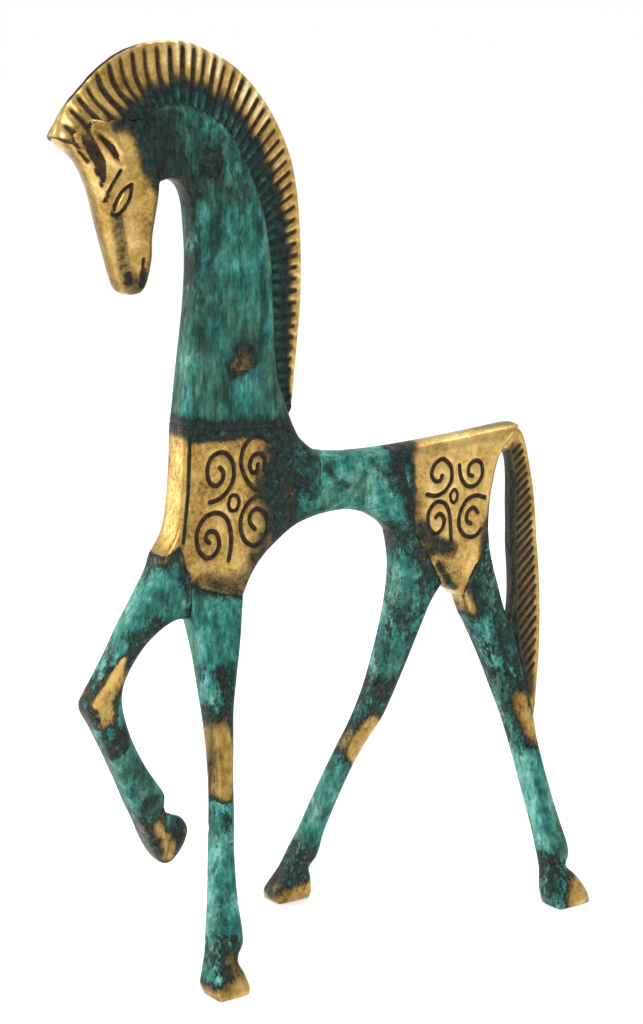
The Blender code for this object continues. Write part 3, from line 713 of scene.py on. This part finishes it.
# The hindquarter: the second engraved panel, over the thighs. Its spirals are cut like the first
# ones, and a tongue of polished metal runs down between the hind legs.
HIND_RIGHT_LEG = [(26.6, 99.6), (33, 91), (37.8, 83.6)]
HIND_LEFT_LEG = [(43, 80.4), (46, 86), (49.3, 91.5), (52.4, 96.5)]
HIND_TAIL = [(61.4, 122.1), (56.4, 117)]
HIND_OUTLINE = [
    ("seam", BARREL_HIND),
    ("seam", HIND_RIGHT_LEG),
    ("leg", [(39.6, 83.4), (41.4, 81.9)]),
    ("seam", HIND_LEFT_LEG),
    ("round", [(52.5, 100.5), (53, 105.5), (54, 110), (55.1, 114)]),
    ("lap", HIND_TAIL[::-1]),
    ("round", [(59.8, 123), (45, 122.2), (31, 121.5)]),
]
HIND_BRUSHED = (0.42, [
    (0.24, 0.2, 1.6, [(25.6, 116), (26.6, 110)]),
    (1, -1.2, 2.4, [(30.5, 125), (30.3, 121), (28, 119), (27.8, 113), (28.6, 107), (28.4, 103),
                    (29.6, 97.5), (34, 93.6), (34.6, 88), (38.5, 84.6), (43, 79.6), (45.6, 84.5),
                    (47.2, 89), (47.6, 95), (49.6, 100), (51.4, 106), (52.6, 112), (57, 116.5),
                    (63, 121), (62, 126), (30.5, 125)]),
    (0.84, 1.6, 3.4, [(36, 91), (41, 84)]),
    (0.52, 0.5, 2.2, [(29.5, 100.5), (33, 95.6), (39, 93.8)]),
    (0.44, 0.2, 0.9, [(35, 90), (38.6, 84.4), (40.4, 83)]),
    (0.62, 0, 0.9, [(48.5, 123), (60, 123.4)]),
])
HIND_SPIRALS = [
    [(31.3, 108.4), (34, 107.7), (36.9, 108.6), (38.9, 111.2), (38.6, 114.6), (36.2, 116.8),
     (33.8, 115.8), (32.7, 113.4), (33.8, 111.5), (35.4, 111.4), (36, 112.6)],
    [(41.4, 114.6), (42, 111.4), (44, 109), (46.8, 109), (48.7, 111.4), (48.4, 114.2), (46.5, 115.2),
     (44.5, 114), (44.4, 112), (45.6, 111.4)],
    [(39, 95.8), (38.8, 99.5), (38.2, 103.2), (36.6, 105.6), (34, 106), (31.9, 103.6), (32, 100),
     (33.9, 98), (36.1, 99), (36.7, 101.4), (35.4, 103), (34.1, 102.2)],
    [(49.6, 105.4), (46.9, 106.2), (44, 105.4), (41.8, 102.4), (41.6, 98.8), (43.6, 96.2),
     (46.6, 95.8), (48.6, 97.4)],
    [(47.4, 101.8), (46, 103.2), (44.2, 102.2), (43.9, 100.2), (45.2, 99.2)],
]
HIND_RING = [(38.6, 107.4), (39.8, 108.6), (40.8, 107.6), (40.6, 105.8), (39.6, 105.3), (38.9, 106),
             (38.6, 107.4)]
HIND_CUTS = [*((spiral, LINE, 0.46) for spiral in HIND_SPIRALS), (HIND_RING, 0.62, 0.45)]
hindquarter = casting("hindquarter_casting", HIND_OUTLINE, FULL, 0.8, HIND_BRUSHED, cuts=HIND_CUTS)
panel_bronze = bronze("polished_rump", polish=0.035, ragged=0.95)
dress(hindquarter, panel_bronze, "polished_bronze", "hindquarter")


# The four legs: thin castings with a crisp front edge and a rounded rear, dowelled into the
# quarters and bent outwards. Knees, hocks and hooves are rubbed bright, with dark oxide round them,
# and a thin painted highlight runs along the knees of the forelegs.
BEND_TOP, STANCE, BEND_POWER = 92.0, 22.4, 1.25
LEG_HALF = [(0, 4.2), (5, 3.8), (9, 3.1), (14, 3.3), (20, 2.8), (50, 2.9), (75, 3.4), (95, BODY)]
RAISED_HALF = [(21, 3), (29, 3.7), (34, 3), (39, 3.2), (46, 2.8), (66, 3.2), (80, 3.3), (95, BODY)]
BETWEEN_FORELEGS = [(-38.2, 95), (-37.7, 86.5)]
TAIL_LEFT_LEG = [(57.7, 71.5), (58.8, 64), (60.3, 54), (61.3, 46.8)]
LEGS = {  # name: the side it bends to, half its thickness at some heights, outline, patina
    "left_foreleg": (-1, LEG_HALF, [
        ("seam", BETWEEN_FORELEGS),
        ("leg", [(-36.8, 84.6), (-36.2, 81), (-35.7, 77), (-35.4, 70), (-35.2, 62), (-35.5, 54),
                 (-36.4, 46), (-37.9, 38), (-39.6, 29), (-41.5, 20), (-43.4, 12), (-45.3, 5.5),
                 (-46.2, 2.5)]),
        ("sole", [(-45.3, 0), (-37, 0)]),
        ("leg", [(-36.1, 1.6), (-36.6, 4.5), (-37.6, 7.6), (-35.5, 10.8), (-35, 14), (-34.7, 23),
                 (-33.6, 32), (-32.2, 40), (-31, 48), (-29.6, 56), (-28.3, 64), (-26.2, 72),
                 (-24.2, 80)]),
        ("seam", FORE_LEFT_LEG[::-1]),
    ], (-0.05, [
        (0.45, 0.3, 2, [(-38.5, 95.4), (-30, 92.2), (-22, 90.4)]),
        (0.42, 1, 3, [(-32, 73), (-29.6, 67), (-33, 63)]),
        (0.46, 1, 2.2, [(-29.8, 62), (-31.2, 48)]),
        (0.90, 0.7, 2.6, [(-33.6, 59), (-33.6, 52), (-34.8, 46)]),
        # a thin line above 1 inside the rubbed knee: a painted highlight along its ridge
        (1.05, 0.2, 1, [(-32.2, 58), (-32.6, 50), (-33.8, 45)]),
        (0.30, 0.4, 2.2, [(-35.4, 40), (-34.9, 36)]),
        (-0.06, 1.4, 5, [(-38, 30), (-39.5, 21)]),
        (0.40, 1, 3.4, [(-40, 11.5), (-38, 8)]),
        (0.62, 1, 3, [(-41, 7), (-39, 5)]),
        (0.95, 0.8, 2.4, [(-44.6, 1), (-37.6, 1.6)]),
    ])),
    "right_foreleg": (1, RAISED_HALF, [
        ("leg", [(-46.6, 99.3), (-48.7, 95.7), (-52, 90.7), (-55.2, 85), (-57.6, 80), (-60.1, 75),
                 (-62.5, 70.4), (-63.3, 68.3), (-62.8, 66), (-60.2, 61.9), (-56.3, 55.2),
                 (-52.1, 47.5), (-47.9, 39.8), (-43.6, 32.3), (-39.4, 24.9), (-36.6, 21.2),
                 (-34.7, 20), (-32.8, 20.6), (-31, 23), (-30, 26), (-30, 29.3), (-31.6, 32),
                 (-34.3, 33.3), (-37, 35), (-38, 37.8), (-38.4, 40.4), (-40.6, 43.6), (-44.7, 49.2),
                 (-48.6, 55.5), (-51.4, 61.2), (-53.4, 66.8), (-53.8, 71), (-52.9, 74.6),
                 (-50.9, 78.4), (-48.1, 82), (-44.6, 84.8), (-41.2, 86.4)]),
        ("seam", BETWEEN_FORELEGS[::-1]),
        ("seam", FORE_RIGHT_LEG[::-1]),
    ], (0.06, [
        (0.45, 0.6, 2.4, [(-46.5, 102.6), (-41, 104.6), (-38.2, 95), (-37, 86)]),
        (-0.10, 1, 3.4, [(-50.5, 92.5), (-55.6, 84)]),
        (0.43, 1.4, 2.8, [(-47.6, 86.6), (-51.6, 83), (-54.6, 77)]),
        (0.78, 1.4, 2, [(-56.2, 75), (-59.8, 69.2), (-58.2, 64.6)]),
        # a thin line above 1 along the knee's crisp ridge: a painted highlight
        (1.1, 0.2, 1, [(-55.6, 79), (-58.8, 73.2), (-61.8, 68.6)]),
        (0.46, 0.3, 0.9, [(-63, 67.4), (-61.6, 64.6)]),
        (0.43, 0.8, 2.8, [(-55, 60), (-53.5, 56)]),
        (0.40, 1.4, 2.8, [(-42.5, 38), (-38.5, 36)]),
        (0.48, 3, 2, [(-33, 27.5)]),
        (0.86, 0.7, 2.4, [(-40, 31), (-37, 26), (-35, 22.6)]),
        (0.46, 0.4, 1.6, [(-43.6, 33), (-38.8, 25)]),
    ])),
    "left_hind_leg": (-1, LEG_HALF, [
        ("leg", [(44.2, 76), (45.9, 72), (48.9, 64), (51.2, 56), (53.4, 48), (54.9, 40), (56.1, 32),
                 (57.1, 24), (57.9, 18), (58.4, 13), (58.3, 8), (57.9, 3)]),
        ("sole", [(58.5, 0), (68.4, 0)]),
        ("leg", [(69, 2.6), (67, 6.5), (64.2, 9.6), (65.3, 11.6), (65.8, 14), (65.3, 18),
                 (64.2, 23.5), (63.1, 30), (62.2, 36), (61.5, 42)]),
        ("lap", TAIL_LEFT_LEG[::-1]),
        ("round", [(56.7, 74), (55.9, 77), (55.1, 81), (54, 86), (53.1, 91)]),
        ("seam", HIND_LEFT_LEG[::-1]),
    ], (0.16, [
        (0.40, 1.4, 3.6, [(43, 80), (46.5, 87), (51, 96)]),
        (0.30, 2, 4, [(50, 84), (52, 72), (55, 62)]),
        (0.80, 0.3, 1.4, [(43.4, 80.6), (45, 77.2)]),
        (0.42, 1.6, 3.4, [(57, 60), (58, 54)]),
        (0.92, 0.9, 2.4, [(56.4, 52), (58.4, 47.5), (59.4, 42)]),
        (-0.10, 2.4, 5, [(57.6, 34), (60.4, 22), (61.6, 15)]),
        (0.36, 0.8, 3.2, [(59.6, 11), (60.5, 7)]),
        (0.92, 0.8, 3, [(63.5, 1.4), (66.5, 2.5), (65.6, 4.6)]),
    ])),
    "right_hind_leg": (1, LEG_HALF, [
        ("leg", [(23.5, 96), (24.2, 91), (24.3, 85), (24, 79), (23.2, 72), (22.2, 65), (20.9, 57.5),
                 (18.6, 49.5), (15.7, 42.5), (12.6, 34.5), (9.9, 26.5), (7.6, 19), (5.2, 12),
                 (2.7, 6), (1.2, 2.6)]),
        ("sole", [(2, 0), (11.4, 0)]),
        ("leg", [(12.2, 2), (11.6, 6), (10.9, 8.8), (12.4, 11.2), (13, 14), (13.5, 18), (14.9, 23.5),
                 (16.6, 29.5), (18.8, 36), (21.1, 41), (23.8, 45.5), (25.9, 49), (27.9, 54.5),
                 (29.9, 61), (32, 68), (33.8, 74), (35.7, 79.8)]),
        ("seam", HIND_RIGHT_LEG[::-1]),
        ("seam", BARREL_RIGHT_LEG[::-1]),
    ], (0.12, [
        (0.42, 1.4, 3.8, [(25, 99.6), (33, 91), (37.8, 83)]),
        (0.28, 0.4, 3.4, [(31, 84), (28, 74)]),
        (0.44, 0.4, 1.8, [(33.6, 74), (29.6, 61), (26, 50)]),
        (0.40, 0.8, 3.4, [(24.4, 58), (22.4, 53)]),
        (0.92, 1.7, 1.9, [(21.8, 47.6), (19.4, 43.6), (18.4, 41)]),
        (0.90, 0.5, 1.2, [(20.2, 40.6), (18.6, 37.2)]),
        (-0.08, 1.6, 5, [(14, 31), (11.4, 21)]),
        (0.40, 1, 3.8, [(8.6, 12), (5, 5.5)]),
        (0.90, 0.9, 2.8, [(3.6, 0.8), (10.6, 2.6)]),
    ])),
}
leg_bronze = bronze("leg_verdigris", stretch=1.6, bloom=0.02, ragged=1.4)
for name, (side, half, outline, brushed) in LEGS.items():
    leg = casting(f"{name}_casting", outline, half, 0.8, brushed, side=side)
    dress(leg, leg_bronze, "green_bronze", name)


# The head: a flat casting polished all over, with the eye, the brow, the ear, the forelock, the
# cheek strap of a bridle, the nostril and the mouth cut into both of its faces.
HEAD_HALF = [(165, 2.9), (175, 3.4), (188, 4), (200, BODY)]
POLL = [(-55, 205.2), (-61, 202.6), (-66, 200.8), (-69.4, 200.4)]
HEAD_OUTLINE = [
    ("seam", HEAD_NECK[::-1]),
    ("head", [(-55, 205.2), (-58, 204.6), (-60.6, 204.8), (-63, 204.9), (-65.2, 203.4),
              (-67.6, 201.9), (-70.2, 200.7), (-68.4, 198.4), (-65.4, 195.9), (-63, 192.2),
              (-61.1, 187.2), (-59.7, 181.3), (-58, 174.7), (-56.2, 168.4), (-54.8, 165.5),
              (-52.2, 164.6), (-49.7, 164.6), (-48, 166.1), (-46.8, 169.5), (-46.2, 173),
              (-46.1, 177.2), (-45.4, 181.3), (-44.6, 186)]),
]
HEAD_BRUSHED = (1.0, [
    (0.44, 0.9, 3, [(-51.5, 204.6), (-49.4, 201), (-47.8, 197), (-47.4, 194), (-45, 190.6),
                    (-43.4, 188.6)]),
    (0.70, 0.1, 0.5, [(-69.4, 200), (-65.6, 196), (-63.2, 192.2), (-61.3, 187.2), (-59.9, 181.3),
                      (-58.2, 174.7), (-56.4, 168.4), (-55, 165.5)]),
    (0.48, 0.6, 2.4, [(-50.6, 205), (-56, 203.8)]),
    (0.62, 0.5, 2.6, [(-53, 168), (-50.6, 165.6), (-48.6, 168)]),
    (0.70, 0.5, 2, [(-56.6, 182), (-54.6, 171)]),
    (0.74, 0.2, 1.8, [(-46, 172), (-46, 178), (-44.8, 184)]),
])
EYE = [(-52.7, 189.8), (-54.6, 188.8), (-56.6, 186.4), (-57.6, 183), (-55.4, 183.8), (-53.3, 186.4),
       (-52.7, 189.8)]
EAR = [(-62.2, 202.2), (-60.2, 201.2), (-57.6, 199.2), (-56, 196.8), (-55.6, 194.8), (-57.2, 195.9),
       (-59, 198.2), (-61, 200.4), (-62.2, 202.2)]
EAR_DEEP, EAR_RIM, FORELOCK_DEEP = 0.9, 0.5, 0.5
EAR_RIM_AT, EAR_RIM_WIDE = 0.75, 0.55
FORELOCK = [(-66, 203.6), (-65, 199), (-62.6, 195), (-61, 191.7), (-60.3, 189.4), (-59.4, 191.7),
            (-59.2, 194.7), (-61, 198.5), (-63.2, 204.4), (-66, 203.6)]
HEAD_CUTS = [
    (EYE, 0.62, 0.55),
    ([(-54.6, 187.6), (-55.7, 185.4)], 0.95, -0.3),  # the eyeball
    ([(-58.4, 182.8), (-56.4, 182.6), (-54.4, 184.6)], 0.55, -0.25),  # the lower lid
    ([(-55.6, 193), (-57.3, 190.6), (-58.6, 188.4), (-59.4, 186.4)], 0.66, 0.5),  # the brow
    ([(-68.4, 201.6), (-67, 199.4), (-65.2, 197.2), (-63.4, 195.2)], 0.5, 0.4),  # a lock of hair
    *(([(-57.0 + 0.3 * n, 180.4 - 1.85 * n), (-55.8 + 0.3 * n, 181.1 - 1.85 * n)], 0.66, 0.15)
      for n in range(6)),  # the marks across the cheek strap
    ([(-55, 181.4), (-54, 175.7), (-53.2, 171.4)], 0.42, 0.11),  # its rear edge
    ([(-53.5, 169.4), (-53.3, 167.6)], 1.15, 0.5),  # the nostril
    ([(-49.5, 172.6), (-49.5, 169.9)], 0.62, 0.6),  # the mouth
    ([(-49.4, 169.6), (-49.7, 166.8)], 1.1, 0.9),
]


def ear_and_forelock(points):
    """A leaf-shaped hollow with a raised rim, and before it the hollow between two locks of hair."""
    away = away_from(points, EAR)
    rim = np.exp(-(((away - EAR_RIM_AT) / EAR_RIM_WIDE) ** 2))
    locks = away_from(points, FORELOCK) + 0.12 * np.sin(1.9 * points[:, 0] - 0.9 * points[:, 1])
    ear = EAR_DEEP * eased(-away, -0.15, 0.75) - EAR_RIM * rim
    return ear + FORELOCK_DEEP * eased(-locks, -0.3, 0.5)


head = casting(
    "head_casting", HEAD_OUTLINE, HEAD_HALF, 0.45, HEAD_BRUSHED, cuts=HEAD_CUTS, carve=ear_and_forelock)
dress(head, bronze("polished_head", polish=0.01, ragged=0.7), "polished_bronze", "head")


# The tail: a thin casting pegged into the croup and brazed to the left hock. Its hair is cut as
# slanting flutes, brown between bright ridges, and its rear edge is smooth and polished.
TAIL_HALF = [(0, 1.9), (220, 1.9)]
TAIL_OUTLINE = [
    ("lap", HIND_TAIL),
    ("thin", [(58.4, 116), (59.8, 113.4), (60.3, 109), (60.4, 102), (60.6, 94), (60.5, 86), (60, 80),
              (59, 75.2)]),
    ("lap", TAIL_LEFT_LEG),
    ("thin", [(62.5, 50), (64.2, 56), (66.3, 64), (67.8, 72), (68.8, 80), (69.1, 88), (68.7, 96),
              (67.8, 104), (66.6, 110), (65.1, 116.4), (63.6, 120.2)]),
]
TAIL_FRONT = [(58.4, 117), (60.3, 109), (60.4, 102), (60.6, 94), (60.5, 86), (60, 80), (59, 75.2),
              (58.8, 64), (60.3, 54)]
TAIL_REAR = TAIL_OUTLINE[3][1]
FLUTE, FLUTE_DEEP = 2.4, 0.40  # from one flute of the tail to the next, and their depth


def tail_flutes(points):
    """Slanting flutes over the middle of the tail, fading out at its top and its lower end."""
    x, z = points.T
    front = away_from(points, TAIL_FRONT)
    rear = away_from(points, TAIL_REAR)
    wave = 0.5 + 0.5 * np.cos(2 * np.pi * (z - 0.75 * (x - 60)) / FLUTE)
    share = eased(front, 0.9, 1.7) * eased(rear, 0.9, 2.0) * eased(z, 54, 60) * (1 - eased(z, 116, 119))
    return FLUTE_DEEP * wave**1.3 * share


TAIL_BRUSHED = (0.70, [
    (1, 0.9, 1.2, TAIL_REAR),
    (0.62, 0.5, 2.5, [(60, 78), (60.5, 56)]),
    (0.62, 0.8, 1.6, TAIL_FRONT),
    (0.46, 0.3, 0.7, TAIL_FRONT),
    (0.95, 0.5, 2, [(57, 118), (62.5, 121.5)]),
])
tail = casting("tail_casting", TAIL_OUTLINE, TAIL_HALF, 0.42, TAIL_BRUSHED,
               side=-1, carve=tail_flutes, group="tail")
dress(tail, bronze("fluted_tail", polish=0.01, ragged=0.35), "polished_bronze", "tail")


# After the castings are brazed together their free edges are filed round in one go, across the
# seams: a crisp chest and crisp fronts of the legs, and softly rounded backs.
NEIGHBOURS = 2.6  # a change from one kind of edge to the next is spread over about this many mm
EDGE_WEAR_AND_HIGHLIGHT = 0.8  # how far in from an edge it is lighter: partly rubbed, partly a painted highlight on the rim
CALM_EDGE = 2.0  # the waves of a face die out over this distance from its edges

filed_rims = {}
for group, parts in rims.items():
    starts, ends, flats, widths = (np.concatenate(values) for values in zip(*parts))
    middle = (starts + ends) / 2
    gap = ((middle[:, None] - middle) ** 2).sum(axis=2)
    weight = np.exp(-gap / (2 * NEIGHBOURS**2))
    weight /= weight.sum(axis=1)[:, None]
    filed_rims[group] = (starts, ends, weight @ flats, weight @ widths)

for piece, side, half, ground, shares, depth, group in castings:
    starts, ends, flats, widths = filed_rims[group]
    away, edge = nearest_edge(ground, starts, ends)
    on_wall = np.abs(shares) < 1
    away[on_wall] = 0.0
    inwards = np.clip(away / widths[edge], 0, 1)
    full = np.interp(ground[:, 1], *np.array(half, float).T)
    thick = full * (flats[edge] + (1 - flats[edge]) * np.sqrt(1 - (1 - inwards) ** 2))
    waves = beaten(ground) * eased(away, 0, CALM_EDGE)
    leg_bend = STANCE * np.clip((BEND_TOP - ground[:, 1]) / BEND_TOP, 0, None) ** BEND_POWER
    across = side * leg_bend + shares * (thick + waves - depth)
    count = len(piece.data.vertices)
    place = np.empty(3 * count)
    piece.data.vertices.foreach_get("co", place)
    place = place.reshape(-1, 3)
    place[:, 1] = across * MM
    piece.data.vertices.foreach_set("co", place.ravel())
    # edge: lighter near the rims, partly from rubbing and partly as a painted highlight
    write_attributes(piece.data, edge=np.exp(-((away / EDGE_WEAR_AND_HIGHLIGHT) ** 2)))
    piece.data.update()


# The mane: a thin comb of bronze let into a slot along the crest and the poll, fluted like hair
# from root to edge. The outer half is polished, and the inner half is dark with verdigris.
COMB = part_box("mane_comb")[1].y / MM
MANE_EDGE = [
    (-71, 201.2), (-69.4, 204.6), (-67.2, 208), (-63.9, 211.2), (-59.4, 215.3), (-53, 219.1),
    (-44.9, 221), (-36.5, 220.9), (-30, 218.6), (-23.4, 215.2), (-17, 209.4), (-12.1, 202.8),
    (-8, 194.6), (-6, 187), (-5.1, 179), (-4.6, 169), (-4.8, 159.7), (-5.6, 151.3), (-6.5, 143),
    (-7.5, 134.4),
]
MANE_ROOT = [(-71, 201.2), *POLL[::-1], *CREST[::-1], (-7.5, 134.4)]
TONGUE = 1.6  # how far the visible comb reaches into its slot
# Places of some flutes: number, (x, z) at the outer edge, (x, z) at the root.
FLUTES = [
    (0, (-71, 201.2), (-71, 201.2)), (1, (-69.6, 204.2), (-66.4, 200.9)),
    (2, (-67.3, 207.6), (-63, 201.9)), (4, (-62.5, 212.6), (-57.2, 204.4)),
    (6, (-56.6, 217.2), (-51.2, 205.8)), (8, (-50.4, 219.9), (-46.6, 206.5)),
    (10, (-43.9, 221), (-41.7, 207.2)), (12, (-37, 221), (-37.4, 206.9)),
    (14, (-31, 219.1), (-33, 205.7)), (17, (-22.8, 214.8), (-27.4, 202.4)),
    (20, (-16, 208.2), (-23.3, 197.8)), (23, (-11, 200.8), (-20.2, 192)),
    (26, (-7.8, 193.4), (-17.7, 185.6)), (29, (-6, 185.2), (-15.9, 179.6)),
    (32, (-5.1, 176.4), (-14.5, 173.4)), (36, (-4.6, 164.8), (-13.7, 164.6)),
    (40, (-5.2, 153.4), (-13, 153.6)), (44, (-6.3, 143.2), (-12.1, 143.2)),
    (48, (-7.3, 135), (-9, 133.8)), (49, (-7.5, 134.4), (-7.5, 134.4)),
]
# Its mesh: columns to each flute, and rows from the slot (-1) past the root (0) to the edge (1).
PER_FLUTE = 9
ACROSS = np.concatenate([[-1, -0.5], np.linspace(0, 0.92, 19), [0.95, 0.975, 0.99, 1.0]])
BULGE = 1.1  # the flutes of the forelock swing forward by this much at their middle
GROOVE_DEEP, THINNEST = 0.5, 0.12
SWELLING = BODY - COMB - 0.15  # between the ears the root is nearly as thick as the poll
ROOT_SWELLS = (0.5, 8.5)  # and thins out over this distance from it
RIM_ROUND, FORELOCK_TAPER = 0.8, 2.4  # width of the rim's rounding, and how much wider in front
POLISH_FLUTES = [0, 4, 8, 12, 20, 26, 34, 42, 49]
POLISH_FROM = [0.0, 0.05, 0.28, 0.38, 0.42, 0.5, 0.66, 0.7, 0.8]  # the polish starts this far out

numbers = np.array([number for number, _, _ in FLUTES])
at = np.linspace(0, numbers[-1], int(numbers[-1] * PER_FLUTE) + 1)
sides = []
for knots, which in ((MANE_EDGE, 1), (MANE_ROOT, 2)):
    line = smooth(knots, 0.05)
    run = run_of(line)
    stations = [run[np.linalg.norm(line - flute[which], axis=1).argmin()] for flute in FLUTES]
    sides.append(placed(np.interp(at, numbers, stations), run, line))
outer, root = sides


def over_flutes(start, full, fading, end):
    """1 from flute number full to fading, and 0 before start and after end."""
    return (eased(at, start, full) * (1 - eased(at, fading, end)))[None, :]


# The flat shape: each column runs from its place in the slot to its place on the outer edge.
span = outer - root
length = np.linalg.norm(span, axis=1)
deeper = span / np.maximum(length, 0.5)[:, None] * np.minimum(TONGUE, 0.4 * length)[:, None]
across = ACROSS[:, None, None]
flat = np.where(across < 0, root + deeper * across, root + span * across)
share = np.clip(ACROSS, 0, 1)[:, None]
from_edge = (1 - share) * length
flat = flat + (BULGE * over_flutes(2, 5, 8, 13) * np.sin(np.pi * share))[..., None] * (-0.95, -0.3)

# Its thickness: grooves that run out before the rim, the rounded rim and the swollen root.
forelock = (1 - eased(at, 11, 17))[None, :]  # filed to a thin edge
nape = eased(at, 18, 24)[None, :]  # where the rim is left smooth
from_ends = np.minimum(at, numbers[-1] - at)[None, :] * 2.0  # in mm, at about 2 mm to a flute
phase = np.cos(2 * np.pi * at)[None, :] * 0.5 + 0.5
run_out = eased(from_edge, 0.1 + 0.4 * nape, 1.8 - 0.5 * nape)
run_out = run_out + (1 - run_out) * 0.3 * (1 - nape)
cut = GROOVE_DEEP * phase**1.5 * run_out * eased(from_ends, 0.5, 2.0)
rounded = np.sqrt(1 - (1 - np.clip(from_edge / (RIM_ROUND + FORELOCK_TAPER * forelock), 0, 1)) ** 2)
rounded = 0.55 - 0.37 * forelock + (0.45 + 0.37 * forelock) * rounded
swollen = SWELLING * (1 - eased(share * length, *ROOT_SWELLS)) * (1 - eased(at, 6, 12))[None, :]
comb_half = (COMB + swollen) * rounded - cut * np.where(ACROSS[:, None] < 0, 0.4, 1.0)
comb_half = np.maximum(comb_half, THINNEST)

# Its wear: polished outside a ragged line and green inside it, with a painted highlight on the ridges
# at the top, and darker along the front edge. Dark oxide fills the grooves, less in some of them.
uneven = (0.86 + 0.14 * np.sin(2.6 * np.round(at) + 1.3 * np.sin(1.7 * np.round(at))))[None, :]
ragged_line = 0.05 * np.sin(at * 2.3) + 0.04 * np.sin(at * 5.1 + 1)
polished = (np.interp(at, POLISH_FLUTES, POLISH_FROM) + ragged_line)[None, :]
comb_wear = 0.42 + 0.58 * eased(share, polished - 0.22, polished + 0.26)
inner_green = 0.12 * (1 - eased(share, 0.1, 0.6)) * eased(at, 6, 10)[None, :]
# Painted highlight: the flute ridges near the top, where light from above falls, get wear above 1.
highlit_flutes = eased(at, 7, 13) * (1 - 0.75 * eased(at, 19, 26))
ridge_highlight = (1 - phase) ** 1.5 * eased(share, 0.45, 0.7) * highlit_flutes[None, :] * (1.2 * uneven - 0.55)
# the front rim of the forelock is made darker
darker_front_rim = 0.6 * (share >= 0.985) * over_flutes(1.5, 3, 7, 11)
comb_wear = comb_wear - inner_green + 0.7 * np.clip(ridge_highlight, 0, None) - darker_front_rim
inked = phase ** (0.65 + 1.0 * eased(share, 0.2, 0.95))  # wide at the root, and narrow at the rim
reached = 0.4 * (1 - nape) + (0.6 + 0.4 * nape) * eased(from_edge, 0.3, 1.8)
comb_recess = np.clip(inked * uneven * reached, 0, 1)

columns = flat.shape[1]
left = np.stack([(flat[..., 0] + SHIFT) * MM, -comb_half * MM, flat[..., 1] * MM], axis=-1)
loop = np.concatenate([left, left[::-1] * (1, -1, 1)])
number = np.arange(loop.shape[0] * columns).reshape(loop.shape[0], columns)
after = np.roll(number, -1, axis=0)
quads = np.stack([number[:, :-1], number[:, 1:], after[:, 1:], after[:, :-1]], axis=-1).reshape(-1, 4)
caps = [number[:, 0].tolist(), number[::-1, -1].tolist()]
mane_data = bpy.data.meshes.new("mane")
mane_data.from_pydata(loop.reshape(-1, 3).tolist(), [], [*quads.tolist(), *caps])
# Its edge attribute lightens the comb's rim: partly rubbing, partly a painted highlight.
write_attributes(
    mane_data,
    wear=np.concatenate([comb_wear, comb_wear[::-1]]).ravel(),
    recess=np.concatenate([comb_recess, comb_recess[::-1]]).ravel(),
    edge=np.tile(np.exp(-from_edge**2), (2, 1)).ravel(),
)
mesh = bmesh.new()
mesh.from_mesh(mane_data)
bmesh.ops.remove_doubles(mesh, verts=mesh.verts, dist=1e-6)
bmesh.ops.recalc_face_normals(mesh, faces=mesh.faces)
mesh.to_mesh(mane_data)
mesh.free()
mane_data.shade_smooth()
mane = link(bpy.data.objects.new("mane", mane_data))
dress(mane, bronze("fluted_mane", polish=0.02, ragged=0.3), "polished_bronze", "mane_comb")


# The cross pins: square and round keys of brown bronze, driven through the tenons and peened over
# flush with both faces, where their ends still show through the patina.
pin_bronze = bronze("peened_bronze", polish=-0.10, ragged=1.1)
PINS = {  # name: x, z, half width, half height, roundness of its end's corners, wear, finish
    "head_pin": (-32.0, 194.6, 1.8, 1.8, 0.35, 0.47, pin_bronze),
    "neck_key": (-23.6, 146.6, 3.3, 1.7, 0.3, 0.58, pin_bronze),
    "front_barrel_pin": (-7.0, 115.0, 1.4, 1.4, 1.0, 0.42, pin_bronze),
    "rear_barrel_pin": (29.0, 112.0, 1.4, 1.4, 1.0, 1.0, panel_bronze),  # polished with its panel
}
PEENED = [(1, -0.5), (1, 0), (0.93, 0.05), (0.75, 0.07), (0.4, 0.08)]  # share of width, height
TURN = np.linspace(0, 2 * np.pi, 40, endpoint=False)


def squared(wave, corner):
    """A sine or cosine, pushed towards -1 and 1 where corner is less than 1."""
    return np.sign(wave) * np.abs(wave) ** (2 / (2 + 6 * (1 - corner)))


for name, (x, z, half_width, half_height, corner, wear, finish) in PINS.items():
    ring = np.stack([squared(np.cos(TURN), corner) * half_width,
                     squared(np.sin(TURN), corner) * half_height], axis=1)
    mesh = bmesh.new()
    for face in (-1, 1):
        rings = [
            [mesh.verts.new(((x + SHIFT + wide * a) * MM, face * (BODY + high) * MM,
                             (z + wide * b) * MM)) for a, b in ring]
            for wide, high in PEENED
        ]
        for lower, upper in zip(rings, rings[1:]):
            for n in range(len(ring)):
                mesh.faces.new((lower[n], lower[n - 1], upper[n - 1], upper[n]))
        mesh.faces.new(rings[0])
        mesh.faces.new(rings[-1])
    bmesh.ops.recalc_face_normals(mesh, faces=mesh.faces)
    data = finished(mesh, f"{name}_ends")
    data.shade_smooth()
    write_attributes(data, wear=np.full(len(data.vertices), wear))
    dress(link(bpy.data.objects.new(f"{name}_ends", data)), finish, "brown_bronze", name)

for name in ("left_foreleg", "right_foreleg", "left_hind_leg", "right_hind_leg"):
    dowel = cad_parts[f"{name}_dowel"]
    dowel.data.materials.clear()
    dowel.data.materials.append(pin_bronze)
